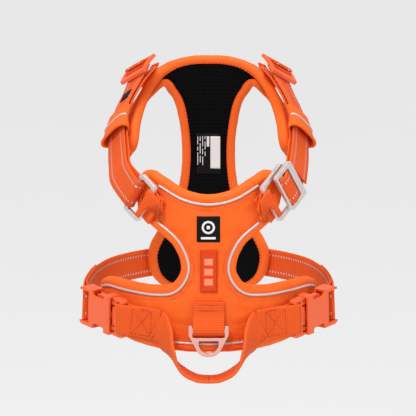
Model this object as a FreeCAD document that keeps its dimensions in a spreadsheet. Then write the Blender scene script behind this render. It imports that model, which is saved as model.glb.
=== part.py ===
"""A padded no pull dog harness, standing as a dog's body holds it.

Millimetres. +Z runs towards the neck, -Y is the back (dorsal) side, +Y the chest side.
The origin is the middle of the body loop, level with the belly straps.
"""
import FreeCAD, Part
import Sketcher
import math
import os

V = FreeCAD.Vector
doc = FreeCAD.newDocument("harness")

# ---------------------------------------------------------------- driving dimensions
DRIVING = {
    "girth_half_width": 92.0,      # body ellipse at the belly straps, side to side
    "girth_half_depth": 94.0,      # the same, back to chest
    "width_taper": 0.09,           # how fast the ellipse narrows towards the neck
    "depth_taper": 0.07,
    "padding": 5.0,                # face cloth and foam
    "lining": 2.0,                 # spacer mesh
    "binding_width": 8.0,
    "binding_proud": 0.6,
    "piping_width": 2.0,
    "piping_height": 1.4,
    "webbing": 25.0,
    "webbing_gauge": 1.6,
    "buckle_width": 32.0,
    "buckle_depth": 11.0,
    "male_length": 13.4,
    "male_gauge": 5.0,
    "socket_length": 39.0,
    "socket_wall": 1.8,
    "socket_cavity": 7.0,
    "webbing_bar_room": 26.4,      # clear width for a strap at a buckle's bar
    "latch_gauge": 4.0,
    "ring_gauge": 3.2,
    "ring_width": 31.5,
    "ring_drop": 21.5,
    "bar_radius": 1.9,
    "slot_drop": 6.0,
    "slider_length": 22.0,
    "slider_width": 31.0,
    "slider_gauge": 3.0,
    "shoulder_ring_width": 35.0,
    "hook_width": 33.0,
    "hook_length": 24.0,
}
sheet = doc.addObject("Spreadsheet::Sheet", "sizes")
for row, (alias, value) in enumerate(DRIVING.items(), start=1):
    sheet.set("A%d" % row, alias)
    sheet.set("B%d" % row, str(value))
    sheet.setAlias("B%d" % row, alias)
doc.recompute()


def size(alias):
    """A driving dimension, read back from the sheet."""
    return float(sheet.get(alias))


PADDING = size("padding")
LINING = size("lining")
BINDING = size("binding_width")
WEBBING = size("webbing")
GAUGE = size("webbing_gauge")
MIRRORS = (("left", -1), ("right", 1))
BACK, CHEST = -1, 1
sub_parts = []


# ---------------------------------------------------------------- helpers
def keep(obj, label):
    """Registers a finished object as the sub-part called label."""
    obj.Label = label
    sub_parts.append(obj)
    return obj


def feature(label, shape):
    """A sub-part whose shape comes straight from Part's functions."""
    obj = doc.addObject("Part::Feature", label)
    obj.Shape = shape
    obj.Placement = FreeCAD.Placement()
    return keep(obj, label)


def body_at(label, placement):
    """A PartDesign body kept as the sub-part called label."""
    body = doc.addObject("PartDesign::Body", label)
    body.Placement = placement
    return keep(body, label)


def sketch_on(body, role, name):
    """A sketch on one of the body's own origin planes."""
    sketch = body.newObject("Sketcher::SketchObject", name)
    plane = next(f for f in body.Origin.OriginFeatures if f.Role == role)
    sketch.AttachmentSupport = [(plane, "")]
    sketch.MapMode = "FlatFace"
    return sketch


def add_loop(sketch, points):
    """A closed polygon of straight lines through points."""
    for start, end in zip(points, points[1:] + points[:1]):
        sketch.addGeometry(Part.LineSegment(V(*start, 0), V(*end, 0)))


def add_rectangle(sketch, low, high):
    add_loop(sketch, [low, (high[0], low[1]), high, (low[0], high[1])])


def add_slot(sketch, low, high, radius):
    """A rectangle with round corners."""
    (x0, y0), (x1, y1) = low, high
    corners = [(x1 - radius, y1 - radius, 0), (x0 + radius, y1 - radius, 1),
               (x0 + radius, y0 + radius, 2), (x1 - radius, y0 + radius, 3)]
    quarter = math.pi / 2
    ends = []
    for cx, cy, turn in corners:
        circle = Part.Circle(V(cx, cy, 0), V(0, 0, 1), radius)
        arc = Part.ArcOfCircle(circle, turn * quarter, (turn + 1) * quarter)
        ends.append((arc.StartPoint, arc.EndPoint))
        sketch.addGeometry(arc)
    for here, after in zip(ends, ends[1:] + ends[:1]):
        if (here[1] - after[0]).Length > 1e-6:
            sketch.addGeometry(Part.LineSegment(here[1], after[0]))


def pad(body, sketch, name, alias, midplane=True):
    """A pad whose length is bound to a cell of the sheet."""
    feat = body.newObject("PartDesign::Pad", name)
    feat.Profile = sketch
    feat.setExpression("Length", "sizes." + alias)
    feat.Midplane = midplane
    doc.recompute()
    return feat


def pocket(body, sketch, name, alias, midplane=True, reverse=False):
    """A pocket bound to a cell; it has to take material away."""
    before = body.Shape.Volume
    feat = body.newObject("PartDesign::Pocket", name)
    feat.Profile = sketch
    feat.setExpression("Length", "sizes." + alias)
    feat.Midplane = midplane
    feat.Reversed = reverse
    doc.recompute()
    if body.Shape.Volume > before - 0.01:
        raise RuntimeError("%s cuts nothing" % name)
    return feat


def frame_at(origin, x_axis, z_axis):
    """A placement whose local X and Z run along the two directions."""
    x_dir = V(*x_axis).normalize()
    z_dir = V(*z_axis)
    z_dir = (z_dir - x_dir * z_dir.dot(x_dir)).normalize()
    return FreeCAD.Placement(V(*origin), FreeCAD.Rotation(x_dir, z_dir.cross(x_dir), z_dir, "XZY"))


def in_frame(placement, x, y, z):
    return placement.multVec(V(x, y, z))


def turned(placement, x, y, z):
    return placement.Rotation.multVec(V(x, y, z))


# ---------------------------------------------------------------- the body form
def half_width(z):
    return size("girth_half_width") - size("width_taper") * z


def half_depth(z):
    return size("girth_half_depth") - size("depth_taper") * z


FORM_LOW, FORM_HIGH = -45.0, 190.0
HALF_TURN = math.radians(84)    # how far round from the middle each half of the form reaches


def half_arc(z, offset, side):
    """Half of the body's ellipse at height z, grown by offset, on the back or the chest side."""
    ellipse = Part.Ellipse(V(0, half_depth(z) + offset, z), V(-half_width(z) - offset, 0, z), V(0, 0, z))
    middle = 0 if side == CHEST else math.pi
    return Part.ArcOfEllipse(ellipse, middle - HALF_TURN, middle + HALF_TURN).toShape()


def shell(inner, outer, side):
    """One half of what lies between two grown forms: the dog's body is a tapering elliptic cone."""
    wires = []
    for z in (FORM_LOW, FORM_HIGH):
        near, far = half_arc(z, inner, side), half_arc(z, outer, side)
        ends = [Part.LineSegment(near.Vertexes[k].Point, far.Vertexes[k].Point).toShape() for k in (0, -1)]
        wires.append(Part.Wire(Part.sortEdges([near, ends[1], far, ends[0]])[0]))
    return Part.makeLoft(wires, True, True)


def skin(x, z, offset=0.0, side=BACK):
    """The point of the grown form at x and z, on the back or the chest side."""
    width, depth = half_width(z) + offset, half_depth(z) + offset
    return V(x, side * depth * math.sqrt(1 - (x / width) ** 2), z)


def outward(x, z, side=BACK):
    """The form's outward direction there."""
    at = skin(x, z, 0, side)
    width, depth = half_width(z), half_depth(z)
    rise = size("width_taper") * x * x / width ** 3 + size("depth_taper") * at.y ** 2 / depth ** 3
    return V(x / width ** 2, at.y / depth ** 2, rise).normalize()


def smooth_loop(points):
    """A smooth closed curve in the XZ plane."""
    curve = Part.BSplineCurve()
    curve.interpolate(Points=[V(x, 0, z) for x, z in points], PeriodicFlag=True)
    return curve


OUTLINE_SIDES = 96


def column(curve, side, distance=0.0):
    """What a closed curve, moved inwards by distance, covers when pushed out through one side of the form."""
    first, last = curve.FirstParameter, curve.LastParameter
    corners = []
    for k in range(OUTLINE_SIDES):
        at = first + (last - first) * k / OUTLINE_SIDES
        across = curve.tangent(at)[0].cross(V(0, 1, 0))
        corners.append(curve.value(at) + across * distance)
    wire = Part.makePolygon(corners + corners[:1])
    return Part.Face(wire).extrude(V(0, side * 140, 0))


def plate(points, inner, outer, side=BACK):
    """A curved plate lying between two offsets of the form, with a straight-edged outline."""
    wire = Part.makePolygon([V(x, 0, z) for x, z in points + points[:1]])
    return shell(inner, outer, side).common(Part.Face(wire).extrude(V(0, side * 140, 0)))


def box(low, high):
    return Part.makeBox(high[0] - low[0], high[1] - low[1], high[2] - low[2], V(*low))


def block(where, low, high):
    """A box between two corners given in a frame's own axes."""
    sides = [b - a for a, b in zip(low, high)]
    shape = Part.makeBox(*sides, V(*low))
    shape.Placement = where
    return shape


def unit(vector):
    return V(vector).normalize()


# ---------------------------------------------------------------- back panel
BACK_HALF = [
    (0, 97.9), (-18, 101), (-36, 110), (-47, 114.6), (-56, 108), (-59, 92),
    (-52, 75), (-41, 66.5), (-29.5, 57), (-23.2, 45), (-23, 35.5), (-30, 26), (-43, 23.3),
    (-64.5, 22.3), (-80, 20.5), (-88, 13), (-88.5, 0), (-83, -14), (-70, -23.3), (-45, -27.2),
    (0, -28.1),
]
BACK_INNER, BACK_OUTER = -(PADDING + LINING), 0.0


def back_outline():
    low = BACK_HALF[:-1]
    right = [(-x, z) for x, z in reversed(low) if x < 0]
    return smooth_loop(low + [BACK_HALF[-1]] + right)


SHOULDER_RELIEF = {  # where the binding is pressed in under the ring, in the shoulder's frame
    "left": ((5, -18, -7.6), (40, 18, 12)), "right": ((-6, -18, -4.4), (40, 18, 12)),
}


def make_back_panel():
    """The padded back panel: face with foam, mesh lining, rolled binding and piping."""
    outline = back_outline()
    core, whole = column(outline, BACK, BINDING), column(outline, BACK)
    proud = size("binding_proud")
    feature("back_panel", shell(-PADDING, BACK_OUTER, BACK).common(core))
    feature("back_lining", shell(BACK_INNER, -PADDING, BACK).common(core))
    binding = shell(BACK_INNER - proud, proud, BACK).common(whole.cut(core))
    for side, sign in MIRRORS:
        binding = binding.cut(block(shoulder_frame(sign), *SHOULDER_RELIEF[side]))
    feature("back_binding", binding)
    width = size("piping_width")
    band = column(outline, BACK, BINDING - width).cut(core)
    strip = shell(proud, size("piping_height"), BACK).common(band)
    for x_low, x_high, z_low, z_high in (
            (-100, -38, 68, 130), (38, 100, 68, 130),
            (-100, -66, -40, 17), (66, 100, -40, 17),
            (-100, -30, -40, -10), (30, 100, -40, -10)):
        strip = strip.cut(box((x_low, -140, z_low), (x_high, 0, z_high)))
    for side, sign in MIRRORS:
        strip = strip.cut(block(shoulder_frame(sign), (-26, -19.0, -9), (30, 19.0, 12)))
    feature("back_piping", strip)


# ---------------------------------------------------------------- chest panel
COLUMN_HALF = [
    (0, 167), (-18, 166.5), (-34, 163.5), (-41, 158.5), (-36, 152.5), (-30.2, 143), (-26.4, 128),
    (-23.8, 106), (-24.2, 84),
    (-27.5, 64), (-36, 42), (-46.5, 27.5), (-53, 14), (-53.6, 1.6), (-49, -13), (-38, -23.5),
    (-20, -27.6), (0, -28),
]
# The neck rim and the lower edge of the arch and arms, from the middle of the chest to an arm's end.
RIM = [(0, 81, 183), (-24, 77.5, 181.5), (-44, 66, 174), (-56, 35, 158), (-62, 2, 140.5), (-64, -24, 120)]
ARM_EDGE = [(0, 83, 155), (-26, 79.5, 156), (-48, 71.5, 155.5), (-66, 53, 141), (-77, 26, 121), (-76, -6, 101)]
CHEST_THICK = PADDING + LINING


def smooth_edge(points, side):
    """A symmetric curve across the chest whose left half has the given points."""
    left = [V(x, y, z) for x, y, z in points]
    right = [V(-p.x, p.y, p.z) for p in left[1:]]
    curve = Part.BSplineCurve()
    curve.interpolate(Points=list(reversed(left)) + right if side is None else left)
    return curve


RIM_CURVE = smooth_edge(RIM, None)
EDGE_CURVE = smooth_edge(ARM_EDGE, None)


def along(curve, share):
    """The point at a share of the curve's parameter, 0 at the left arm's end, 1 at the right."""
    return curve.value(curve.FirstParameter + share * (curve.LastParameter - curve.FirstParameter))


def arm_frame(share):
    """At a share of the way from the left arm's end to the right one's: rim point, edge point, normal."""
    def middle(at):
        return (along(RIM_CURVE, at) + along(EDGE_CURVE, at)) * 0.5

    step = 1e-3
    rim, edge = along(RIM_CURVE, share), along(EDGE_CURVE, share)
    normal = unit((middle(share + step) - middle(share - step)).cross(edge - rim))
    if normal.dot(V(rim.x, rim.y, 0)) < 0:
        normal = normal * -1
    return rim, edge, normal


ARM_STATIONS = 25
ARM_TIP = 0.02
RIM_SHARE = 0.2


def arm_strip(low, high, across_from, across_to):
    """The arch and both arms between two depths under their outer face and two shares across."""
    wires = []
    for k in range(ARM_STATIONS):
        share = ARM_TIP + (1 - 2 * ARM_TIP) * k / (ARM_STATIONS - 1)
        rim, edge, normal = arm_frame(share)
        corners = []
        for across, depth in ((across_from, low), (across_to, low), (across_to, high), (across_from, high)):
            corners.append(rim + (edge - rim) * across + normal * depth)
        wires.append(Part.makePolygon(corners + corners[:1]))
    return Part.makeLoft(wires, True, True)


def make_chest_panel():
    """The chest panel: an arch with two arms over the shoulders, a column and a paddle under the chest."""
    outline = smooth_loop(COLUMN_HALF + [(-x, z) for x, z in reversed(COLUMN_HALF[1:-1])])
    arch = arm_strip(-20, 20, 0, 1)
    prism = column(outline, CHEST).cut(arch)
    proud = size("binding_proud")
    for label, low, high in (("chest_panel", -PADDING, 0), ("chest_lining", -CHEST_THICK, -PADDING)):
        trunk = shell(low, high, CHEST).common(prism)
        feature(label, Part.makeCompound([arm_strip(low, high, RIM_SHARE, 1)] + trunk.Solids))
    feature("chest_binding", arm_strip(-CHEST_THICK - proud, proud, 0, RIM_SHARE))


# ---------------------------------------------------------------- webbing with sewn eyes
EYE_RADIUS, EYE_BORE = 4.2, 2.6


def strip_section(centre, across, lift):
    """The rectangular section of a strip, as a closed wire."""
    corners = [centre - across - lift, centre + across - lift,
               centre + across + lift, centre - across + lift]
    return Part.makePolygon(corners + corners[:1])


def strip_along(centres, normals, thickness, width=None):
    """A webbing strip through centres, its face turned towards normals."""
    half_width_of_strip = (width or WEBBING) / 2
    wires = []
    last = len(centres) - 1
    for k, (centre, normal) in enumerate(zip(centres, normals)):
        along_it = unit(centres[min(k + 1, last)] - centres[max(k - 1, 0)])
        across = unit(along_it.cross(normal)) * half_width_of_strip
        lift = unit(across.cross(along_it)) * (thickness / 2)
        if lift.dot(normal) < 0:
            lift = lift * -1
        wires.append(strip_section(centre, across, lift))
    return Part.makeLoft(wires, True, False)


def eye(centre, axis, radius=EYE_RADIUS, width=None):
    """The round fold of a strap about a bar, not yet hollow."""
    width = width or WEBBING
    axis = unit(axis)
    return Part.makeCylinder(radius, width, centre - axis * (width / 2), axis)


def bored(shape, centre, axis, radius=EYE_BORE):
    """The shape with a bar's passage through it."""
    axis = unit(axis)
    return shape.cut(Part.makeCylinder(radius, 2 * WEBBING, centre - axis * WEBBING, axis))


# ---------------------------------------------------------------- side release buckles
BUCKLE_START = V(-66.8, -77.5, -6.0)
BUCKLE_ALONG = V(-0.645, 0.762, 0.05)
BUCKLE_OUT = V(-0.762, -0.645, 0.0)
BAR_AT = 2.6
MALE_BORE = 3.3
LATCH_ROOT, LATCH_SIDE = 12.4, 10.6
SOCKET_START = 14.0


def flipped(vector, sign):
    """The vector mirrored to the wearer's other side when sign is positive."""
    return V(-vector.x * sign, vector.y, vector.z)


def buckle_frame(sign):
    """Local X runs outwards along the buckle from its inner end and Z away from the body."""
    return frame_at(flipped(BUCKLE_START, sign), flipped(BUCKLE_ALONG, sign), flipped(BUCKLE_OUT, sign))


def make_male(side, sign):
    """The plug: a frame with the strap's bar, and a guide tongue between the two latches."""
    body = body_at("buckle_male_" + side, buckle_frame(sign))
    half = size("buckle_width") / 2
    plate_sketch = sketch_on(body, "XY_Plane", "plate_" + side)
    length = size("male_length")
    add_slot(plate_sketch, (0, -half), (length, half), 2.4)
    pad(body, plate_sketch, "plate_pad_" + side, "male_gauge")
    slot = sketch_on(body, "XY_Plane", "slot_" + side)
    add_rectangle(slot, (BAR_AT + size("bar_radius"), -13.2), (8.2, 13.2))
    pocket(body, slot, "strap_slot_" + side, "buckle_depth")
    tongue = sketch_on(body, "XY_Plane", "tongue_" + side)
    add_loop(tongue, [(length - 1, -3.2), (length + 16, -1.6), (length + 19, 0),
                      (length + 16, 1.6), (length - 1, 3.2)])
    pad(body, tongue, "tongue_pad_" + side, "latch_gauge")
    notch = sketch_on(body, "XY_Plane", "notch_" + side)
    for way in (-1, 1):
        add_rectangle(notch, (LATCH_ROOT - 2.2, way * LATCH_SIDE - 3.0), (length + 1, way * LATCH_SIDE + 3.0))
    pocket(body, notch, "latch_seats_" + side, "buckle_depth")
    relief = sketch_on(body, "XY_Plane", "relief_" + side)
    add_rectangle(relief, (-1, -12.9), (BAR_AT - size("bar_radius"), 12.9))
    pocket(body, relief, "bar_relief_" + side, "buckle_depth")


def make_latches(side, sign):
    """Two sprung arms with a catch that fills the socket's windows."""
    up = 1 if turned(buckle_frame(sign), 0, 1, 0).z > 0 else -1
    for name, way in (("upper", up), ("lower", -up)):
        body = body_at("buckle_latch_%s_%s" % (name, side), buckle_frame(sign))
        arm = sketch_on(body, "XY_Plane", "arm_%s_%s" % (name, side))
        y = LATCH_SIDE * way
        outer = LATCH_SIDE + 2.0
        points = [(LATCH_ROOT - 2, y - 1.5 * way), (LATCH_ROOT + 20, y - 1.5 * way), (LATCH_ROOT + 22, y),
                  (LATCH_ROOT + 21, (outer + 0.6) * way), (LATCH_ROOT + 18, (outer + 1.5) * way),
                  (LATCH_ROOT + 14, (outer + 1.1) * way), (LATCH_ROOT + 9, outer * way),
                  (LATCH_ROOT - 2, (y * way + 1.5) * way)]
        add_loop(arm, points)
        pad(body, arm, "arm_pad_%s_%s" % (name, side), "latch_gauge")


def make_socket(side, sign):
    """The receptacle: a flat box open at its mouth, with a window at each edge and a strap bar."""
    body = body_at("buckle_socket_" + side, buckle_frame(sign))
    half, wall = size("buckle_width") / 2, size("socket_wall")
    end = SOCKET_START + size("socket_length")
    block = sketch_on(body, "XY_Plane", "block_" + side)
    add_loop(block, [(SOCKET_START, -half), (end - 3.6, -half), (end - 1.1, -half + 0.9), (end, -half + 3),
                     (end, half - 3), (end - 1.1, half - 0.9), (end - 3.6, half), (SOCKET_START, half)])
    pad(body, block, "block_pad_" + side, "buckle_depth")
    cavity = sketch_on(body, "XY_Plane", "cavity_" + side)
    add_rectangle(cavity, (SOCKET_START - 1, -half + wall), (LATCH_ROOT + 26, half - wall))
    pocket(body, cavity, "cavity_pocket_" + side, "socket_cavity")
    windows = sketch_on(body, "XY_Plane", "windows_" + side)
    for way in (-1, 1):
        low, high = sorted((way * (half - 4.4), way * (half + 1)))
        add_slot(windows, (LATCH_ROOT + 8.5, low), (LATCH_ROOT + 23.5, high), 2.6)
    pocket(body, windows, "window_pocket_" + side, "buckle_depth")
    slot = sketch_on(body, "XY_Plane", "end_slot_" + side)
    add_rectangle(slot, (end - 12.0, -13.2), (end - 4.0, 13.2))
    pocket(body, slot, "end_slot_pocket_" + side, "buckle_depth")
    thin = sketch_on(body, "XZ_Plane", "thin_" + side)
    for way in (-1, 1):
        add_loop(thin, [(end - 5.2, way * 1.5), (end + 1, way * 1.5),
                        (end + 1, way * 7), (end - 5.2, way * 7)])
    pocket(body, thin, "bar_thinning_" + side, "webbing_bar_room")


def make_side_strap(side, sign):
    """The webbing sewn to the panel with a boxed cross, looped about the plug's bar."""
    where = buckle_frame(sign)
    bar = in_frame(where, BAR_AT, 0, 0)
    centres = [skin(sign * x, z, 2.7) for x, z in ((43.6, -7.0), (48.5, -7.0), (53.5, -7.0))]
    normals = [outward(sign * x, -7.0) for x in (43.6, 48.5, 53.5)]
    centres += [in_frame(where, -5.5, 0, -3.2), in_frame(where, BAR_AT - 2.5, 0, 0)]
    normals += [turned(where, -0.35, 0, 1), turned(where, -0.2, 0, 1)]
    axis = turned(where, 0, 1, 0)
    strap = strip_along(centres, normals, 2 * GAUGE).fuse(eye(bar, axis, EYE_RADIUS + 0.6))
    feature("side_strap_" + side, bored(strap, bar, axis, MALE_BORE))


def make_belly_strap(side, sign):
    """The belly strap from under the chest paddle to the socket; its outer end flexes with the socket."""
    where = buckle_frame(sign)
    end = SOCKET_START + size("socket_length")
    bar = in_frame(where, end - 2.0, 0, 0)
    axis = turned(where, 0, 1, 0)
    centres = [V(sign * x, y, z) for x, y, z in
               ((36, 88.5, 0), (52, 80.5, 0), (70, 66.5, 0),
                (84.5, 48.5, 0), (94.0, 26, -0.5), (97.8, 8, -1))]
    normals = [V(c.x / 92 ** 2, c.y / 94 ** 2, 0) for c in centres]
    feature("belly_strap_" + side, strip_along(centres[:5], normals[:5], GAUGE))
    gap = (centres[5] - centres[4]) * 0.04
    tail = [centres[4] + gap, V(sign * 97.6, 10, -1), V(sign * 99.8, -6, -1.6), V(sign * 101.4, -20, -2.2),
            in_frame(where, end + 0.6, 0, 0.6)]
    tail_normals = [V(sign, 0.25, 0), V(sign, 0.15, 0), V(sign, 0.0, 0), V(sign, -0.4, 0)]
    tail_normals.append(turned(where, 0.1, 0, 1))
    shape = strip_along(tail, tail_normals, 2 * GAUGE).fuse(eye(bar, axis))
    feature("belly_strap_end_" + side, bored(shape, bar, axis))


# ---------------------------------------------------------------- leash rings
def ring_shape(body, name):
    """A V shaped plate with a bar between two horns, a strap slot and a leash hole."""
    half, drop, bar = size("ring_width") / 2, size("ring_drop"), size("bar_radius")
    horn = 3.0
    outline = sketch_on(body, "XY_Plane", name + "_outline")
    corner = [(-half, 3.6), (-half + horn, 3.6), (-half + horn, bar), (half - horn, bar), (half - horn, 3.6),
              (half, 3.6), (half, -4.0), (8.6, -drop + 3.6)]
    for start, end in zip(corner, corner[1:]):
        outline.addGeometry(Part.LineSegment(V(*start, 0), V(*end, 0)))
    outline.addGeometry(Part.Arc(V(8.6, -drop + 3.6, 0), V(0, -drop, 0), V(-8.6, -drop + 3.6, 0)))
    outline.addGeometry(Part.LineSegment(V(-8.6, -drop + 3.6, 0), V(-half, -4.0, 0)))
    outline.addGeometry(Part.LineSegment(V(-half, -4.0, 0), V(-half, 3.6, 0)))
    pad(body, outline, name + "_plate", "ring_gauge")
    slot = sketch_on(body, "XY_Plane", name + "_slot")
    add_slot(slot, (-12.75, -size("slot_drop")), (12.75, -bar), 1.0)
    pocket(body, slot, name + "_slot_pocket", "buckle_depth")
    hole = sketch_on(body, "XY_Plane", name + "_hole")
    top, low = -size("slot_drop") - 2.4, -drop + 2.8
    points = [V(-7.6, top, 0), V(7.6, top, 0)]
    hole.addGeometry(Part.LineSegment(*points))
    hole.addGeometry(Part.Arc(points[1], V(0, low, 0), points[0]))
    pocket(body, hole, name + "_hole_pocket", "buckle_depth")
    doc.recompute()


BACK_RING_Z = -8.5
CHEST_RING_Z = 112.0
RING_STAND = 5.2


def ring_seat(z, side):
    """Where a leash ring's bar lies."""
    return skin(0, z, RING_STAND, side)


def make_leash_ring(label, z, side, strap_top):
    """A leash ring and the webbing that holds its bar."""
    seat = ring_seat(z, side)
    place = frame_at(seat, (-side, 0, 0), (0, side, 0))
    body = body_at(label, place)
    ring_shape(body, label)
    centres = [skin(0, strap_top, 2.3, side), skin(0, (strap_top + z) / 2 + 2, 2.3, side),
               seat + V(0, -side * 1.2, 3.2), seat + V(0, 0, 0.5)]
    normals = [V(0, side, 0.07)] * 4
    width = WEBBING - 0.4
    strap = strip_along(centres, normals, 2 * GAUGE, width)
    strap = strap.fuse(eye(seat, V(1, 0, 0), EYE_RADIUS, width))
    feature(label + "_webbing", bored(strap, seat, V(1, 0, 0)))


# ---------------------------------------------------------------- handle
HANDLE_GAUGE = 2.6
HANDLE_HALF = [  # centre line from the middle to the left end, and how far its face has turned
    (0, -103.5, -47.5, 87), (-9, -103.5, -46.6, 86), (-19, -103.5, -41.5, 82), (-26.5, -103.5, -33, 70),
    (-31, -102.5, -23.5, 50), (-35, -97.5, -14, 25), (-38.5, -91.8, -8.8, 6), (-41.5, -88.6, -7.2, 0),
]


def make_handle():
    """The grab handle: webbing that turns edge-on to the back as it hangs."""
    half = [(V(x, y, z), turn) for x, y, z, turn in HANDLE_HALF]
    other = [(V(-c.x, c.y, c.z), -turn) for c, turn in reversed(half[1:])]
    full = other + half
    wires = []
    last = len(full) - 1
    for k, (centre, turn) in enumerate(full):
        direction = unit(full[min(k + 1, last)][0] - full[max(k - 1, 0)][0])
        if abs(centre.x) > 41:
            direction = V(-1, 0, 0)
        out = outward(centre.x * 0.98, max(centre.z, -28))
        out = unit(out - direction * out.dot(direction))
        flat = unit(direction.cross(out))
        if flat.z < 0:
            flat = flat * -1
        angle = math.radians(abs(turn))
        across = flat * math.cos(angle) + out * math.sin(angle)
        lift = unit(direction.cross(across)) * (HANDLE_GAUGE / 2)
        across = across * (WEBBING / 2)
        wires.append(strip_section(centre, across, lift))
    feature("handle_webbing", Part.makeLoft(wires, True, False))


# ---------------------------------------------------------------- trims on the back panel
def make_trims():
    feature("woven_patch", plate([(-9.3, 60.6), (9.3, 60.6), (9.3, 81.2), (-9.3, 81.2)], 0.2, 1.2))
    feature("light_tab", plate([(-6.7, 20.8), (6.7, 20.8), (6.7, 54.4), (-6.7, 54.4)], 0.2, 2.6))
    feature("care_label", plate([(-10.6, 79), (10.6, 79), (10.6, 115), (-10.6, 115)], -8.2, -7.3, CHEST))


# ---------------------------------------------------------------- shoulders
RING_BAR = V(-47.6, -77.0, 88.8)
RING_TO_STRAP = V(-0.655, 0.574, 0.493)
RING_OUT = V(-0.606, -0.766, 0.087)
RING_STAND_OFF = 2.4


RING_DIP = {-1: 0.08, 1: 0.24}    # how far each ring leans in towards the neck strap


def shoulder_frame(sign):
    """Local X runs from the panel's webbing loop to the neck strap, Z away from the body."""
    start = flipped(RING_BAR + RING_OUT * RING_STAND_OFF, sign)
    return frame_at(start, flipped(RING_TO_STRAP - RING_OUT * RING_DIP[sign], sign), flipped(RING_OUT, sign))


RING_LENGTHS = {"left": 15.6, "right": 29.0}


def make_shoulder_ring(side, sign):
    """A rectangular metal ring between the panel's loop and the neck strap."""
    body = body_at("shoulder_ring_" + side, shoulder_frame(sign))
    half, bar, length = size("shoulder_ring_width") / 2, size("bar_radius"), RING_LENGTHS[side]
    outline = sketch_on(body, "XY_Plane", "ring_outline_" + side)
    add_slot(outline, (-bar, -half), (length + bar, half), 3.0)
    pad(body, outline, "ring_pad_" + side, "ring_gauge")
    window = sketch_on(body, "XY_Plane", "ring_window_" + side)
    add_slot(window, (bar, -half + 3.4), (length - bar, half - 3.4), 1.2)
    pocket(body, window, "ring_window_pocket_" + side, "buckle_depth")


def make_shoulder_loop(side, sign):
    """The webbing sewn into the back panel's shoulder, folded about the ring."""
    where = shoulder_frame(sign)
    axis = turned(where, 0, 1, 0)
    seat = in_frame(where, 0, 0, 0)
    sewn = ((35.5, 87.0, 2.6), (40.0, 87.8, 2.7))
    centres = [skin(sign * x, z, lift) for x, z, lift in sewn] + [in_frame(where, -3.0, 0, -0.4), seat]
    normals = [outward(sign * x, z) for x, z, lift in sewn] + [turned(where, 0, 0, 1)] * 2
    shape = strip_along(centres, normals, 2 * GAUGE).fuse(eye(seat, axis))
    feature("shoulder_loop_" + side, bored(shape, seat, axis))


NECK_PATH = [  # centre of the neck strap's inner layer and the way its face looks, from the chest to the ring
    (-46.0, 72.0, 166.6, -0.64, 0.67, 0.36), (-54.6, 61.4, 167.4, -0.72, 0.30, 0.62),
    (-54.2, 47.2, 170.6, -0.50, 0.12, 0.86), (-62.4, 31.0, 160.2, -0.65, 0.02, 0.76),
    (-68.9, 16.0, 148.4, -0.76, -0.08, 0.65), (-72.4, 1.5, 136.8, -0.81, -0.16, 0.56),
    (-72.2, -13.0, 125.0, -0.83, -0.25, 0.50), (-70.8, -28.5, 114.0, -0.81, -0.39, 0.44),
    (-68.6, -46.0, 105.5, -0.73, -0.59, 0.34),
]
TOP_LIFT = 2.6
TOP_LIFT_GAIN = 0.15     # the outer layer stands a little further off at each station
SLIDER_STATION = 2


def neck_point(k, sign):
    x, y, z, nx, ny, nz = NECK_PATH[k]
    return V(-sign * x, y, z), unit(V(-sign * nx, ny, nz))


def neck_between(at, sign):
    """The neck strap's inner layer part of the way between two of its stations."""
    k, share = int(at), at - int(at)
    (a, na), (b, nb) = neck_point(k, sign), neck_point(k + 1, sign)
    return a * (1 - share) + b * share, unit(na * (1 - share) + nb * share)


STRAP_EYE, STRAP_BORE = 5.2, 3.6


def strap_end_seat(side, sign):
    """The bar about which the neck strap ends: the ring's on the left, the hook's on the right."""
    where = shoulder_frame(sign)
    if side == "left":
        return in_frame(where, RING_LENGTHS[side], 0, 0)
    return in_frame(where, HOOK_BAR, 0, HOOK_LIFT)


HOOK_BAR, HOOK_LIFT = 17.5, 5.4


def make_neck_strap(side, sign):
    """The neck strap: an inner layer from the chest to the shoulder and an outer one from the slider."""
    where = shoulder_frame(sign)
    axis = turned(where, 0, 1, 0)
    seat = strap_end_seat(side, sign)
    path = [neck_point(k, sign) for k in range(len(NECK_PATH))]
    centres, normals = [c for c, n in path], [n for c, n in path]
    if side == "left":
        radius, bore = STRAP_EYE, STRAP_BORE
        centres.append(seat + turned(where, STRAP_BORE + 0.6, 0, 0))
        normals.append(turned(where, 0, 0, 1))
    else:
        radius, bore = EYE_RADIUS, EYE_BORE
        centres += [in_frame(where, RING_LENGTHS[side] + 3, 0, 2.4),
                    in_frame(where, RING_LENGTHS[side] - 4, 0, 2.8),
                    in_frame(where, HOOK_BAR + 2.4, 0, 2.6)]
        normals += [turned(where, 0.3, 0, 1), turned(where, 0, 0, 1), turned(where, 0, 0, 1)]
    strap = strip_along(centres, normals, GAUGE).fuse(eye(seat, axis, radius))
    feature("neck_strap_" + side, bored(strap, seat, axis, bore))


def make_top_strap(side, sign):
    """The outer layer of the neck strap, from its eye on the slider down to the ring."""
    path = [neck_point(k, sign) for k in range(SLIDER_STATION, len(NECK_PATH))]
    centres = [c + n * (TOP_LIFT + TOP_LIFT_GAIN * k) for k, (c, n) in enumerate(path)]
    normals = [n for c, n in path]
    where = slider_frame(sign)
    bar = in_frame(where, 0, 0, SLIDER_RISE)
    axis = turned(where, 0, 1, 0)
    centres[0] = bar + turned(where, -2.0, 0, -2.6)
    width = WEBBING - 0.6
    shape = strip_along(centres, normals, GAUGE, width).fuse(eye(bar, axis, EYE_RADIUS, width))
    feature("neck_strap_top_" + side, bored(shape, bar, axis))


SLIDER_RISE = 8.2


def slider_frame(sign):
    """Local X runs up the strap, Z away from the body; the origin is on the strap's inner layer."""
    centre, normal = neck_point(SLIDER_STATION, sign)
    return frame_at(centre, centre - neck_point(SLIDER_STATION + 1, sign)[0], normal)


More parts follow.
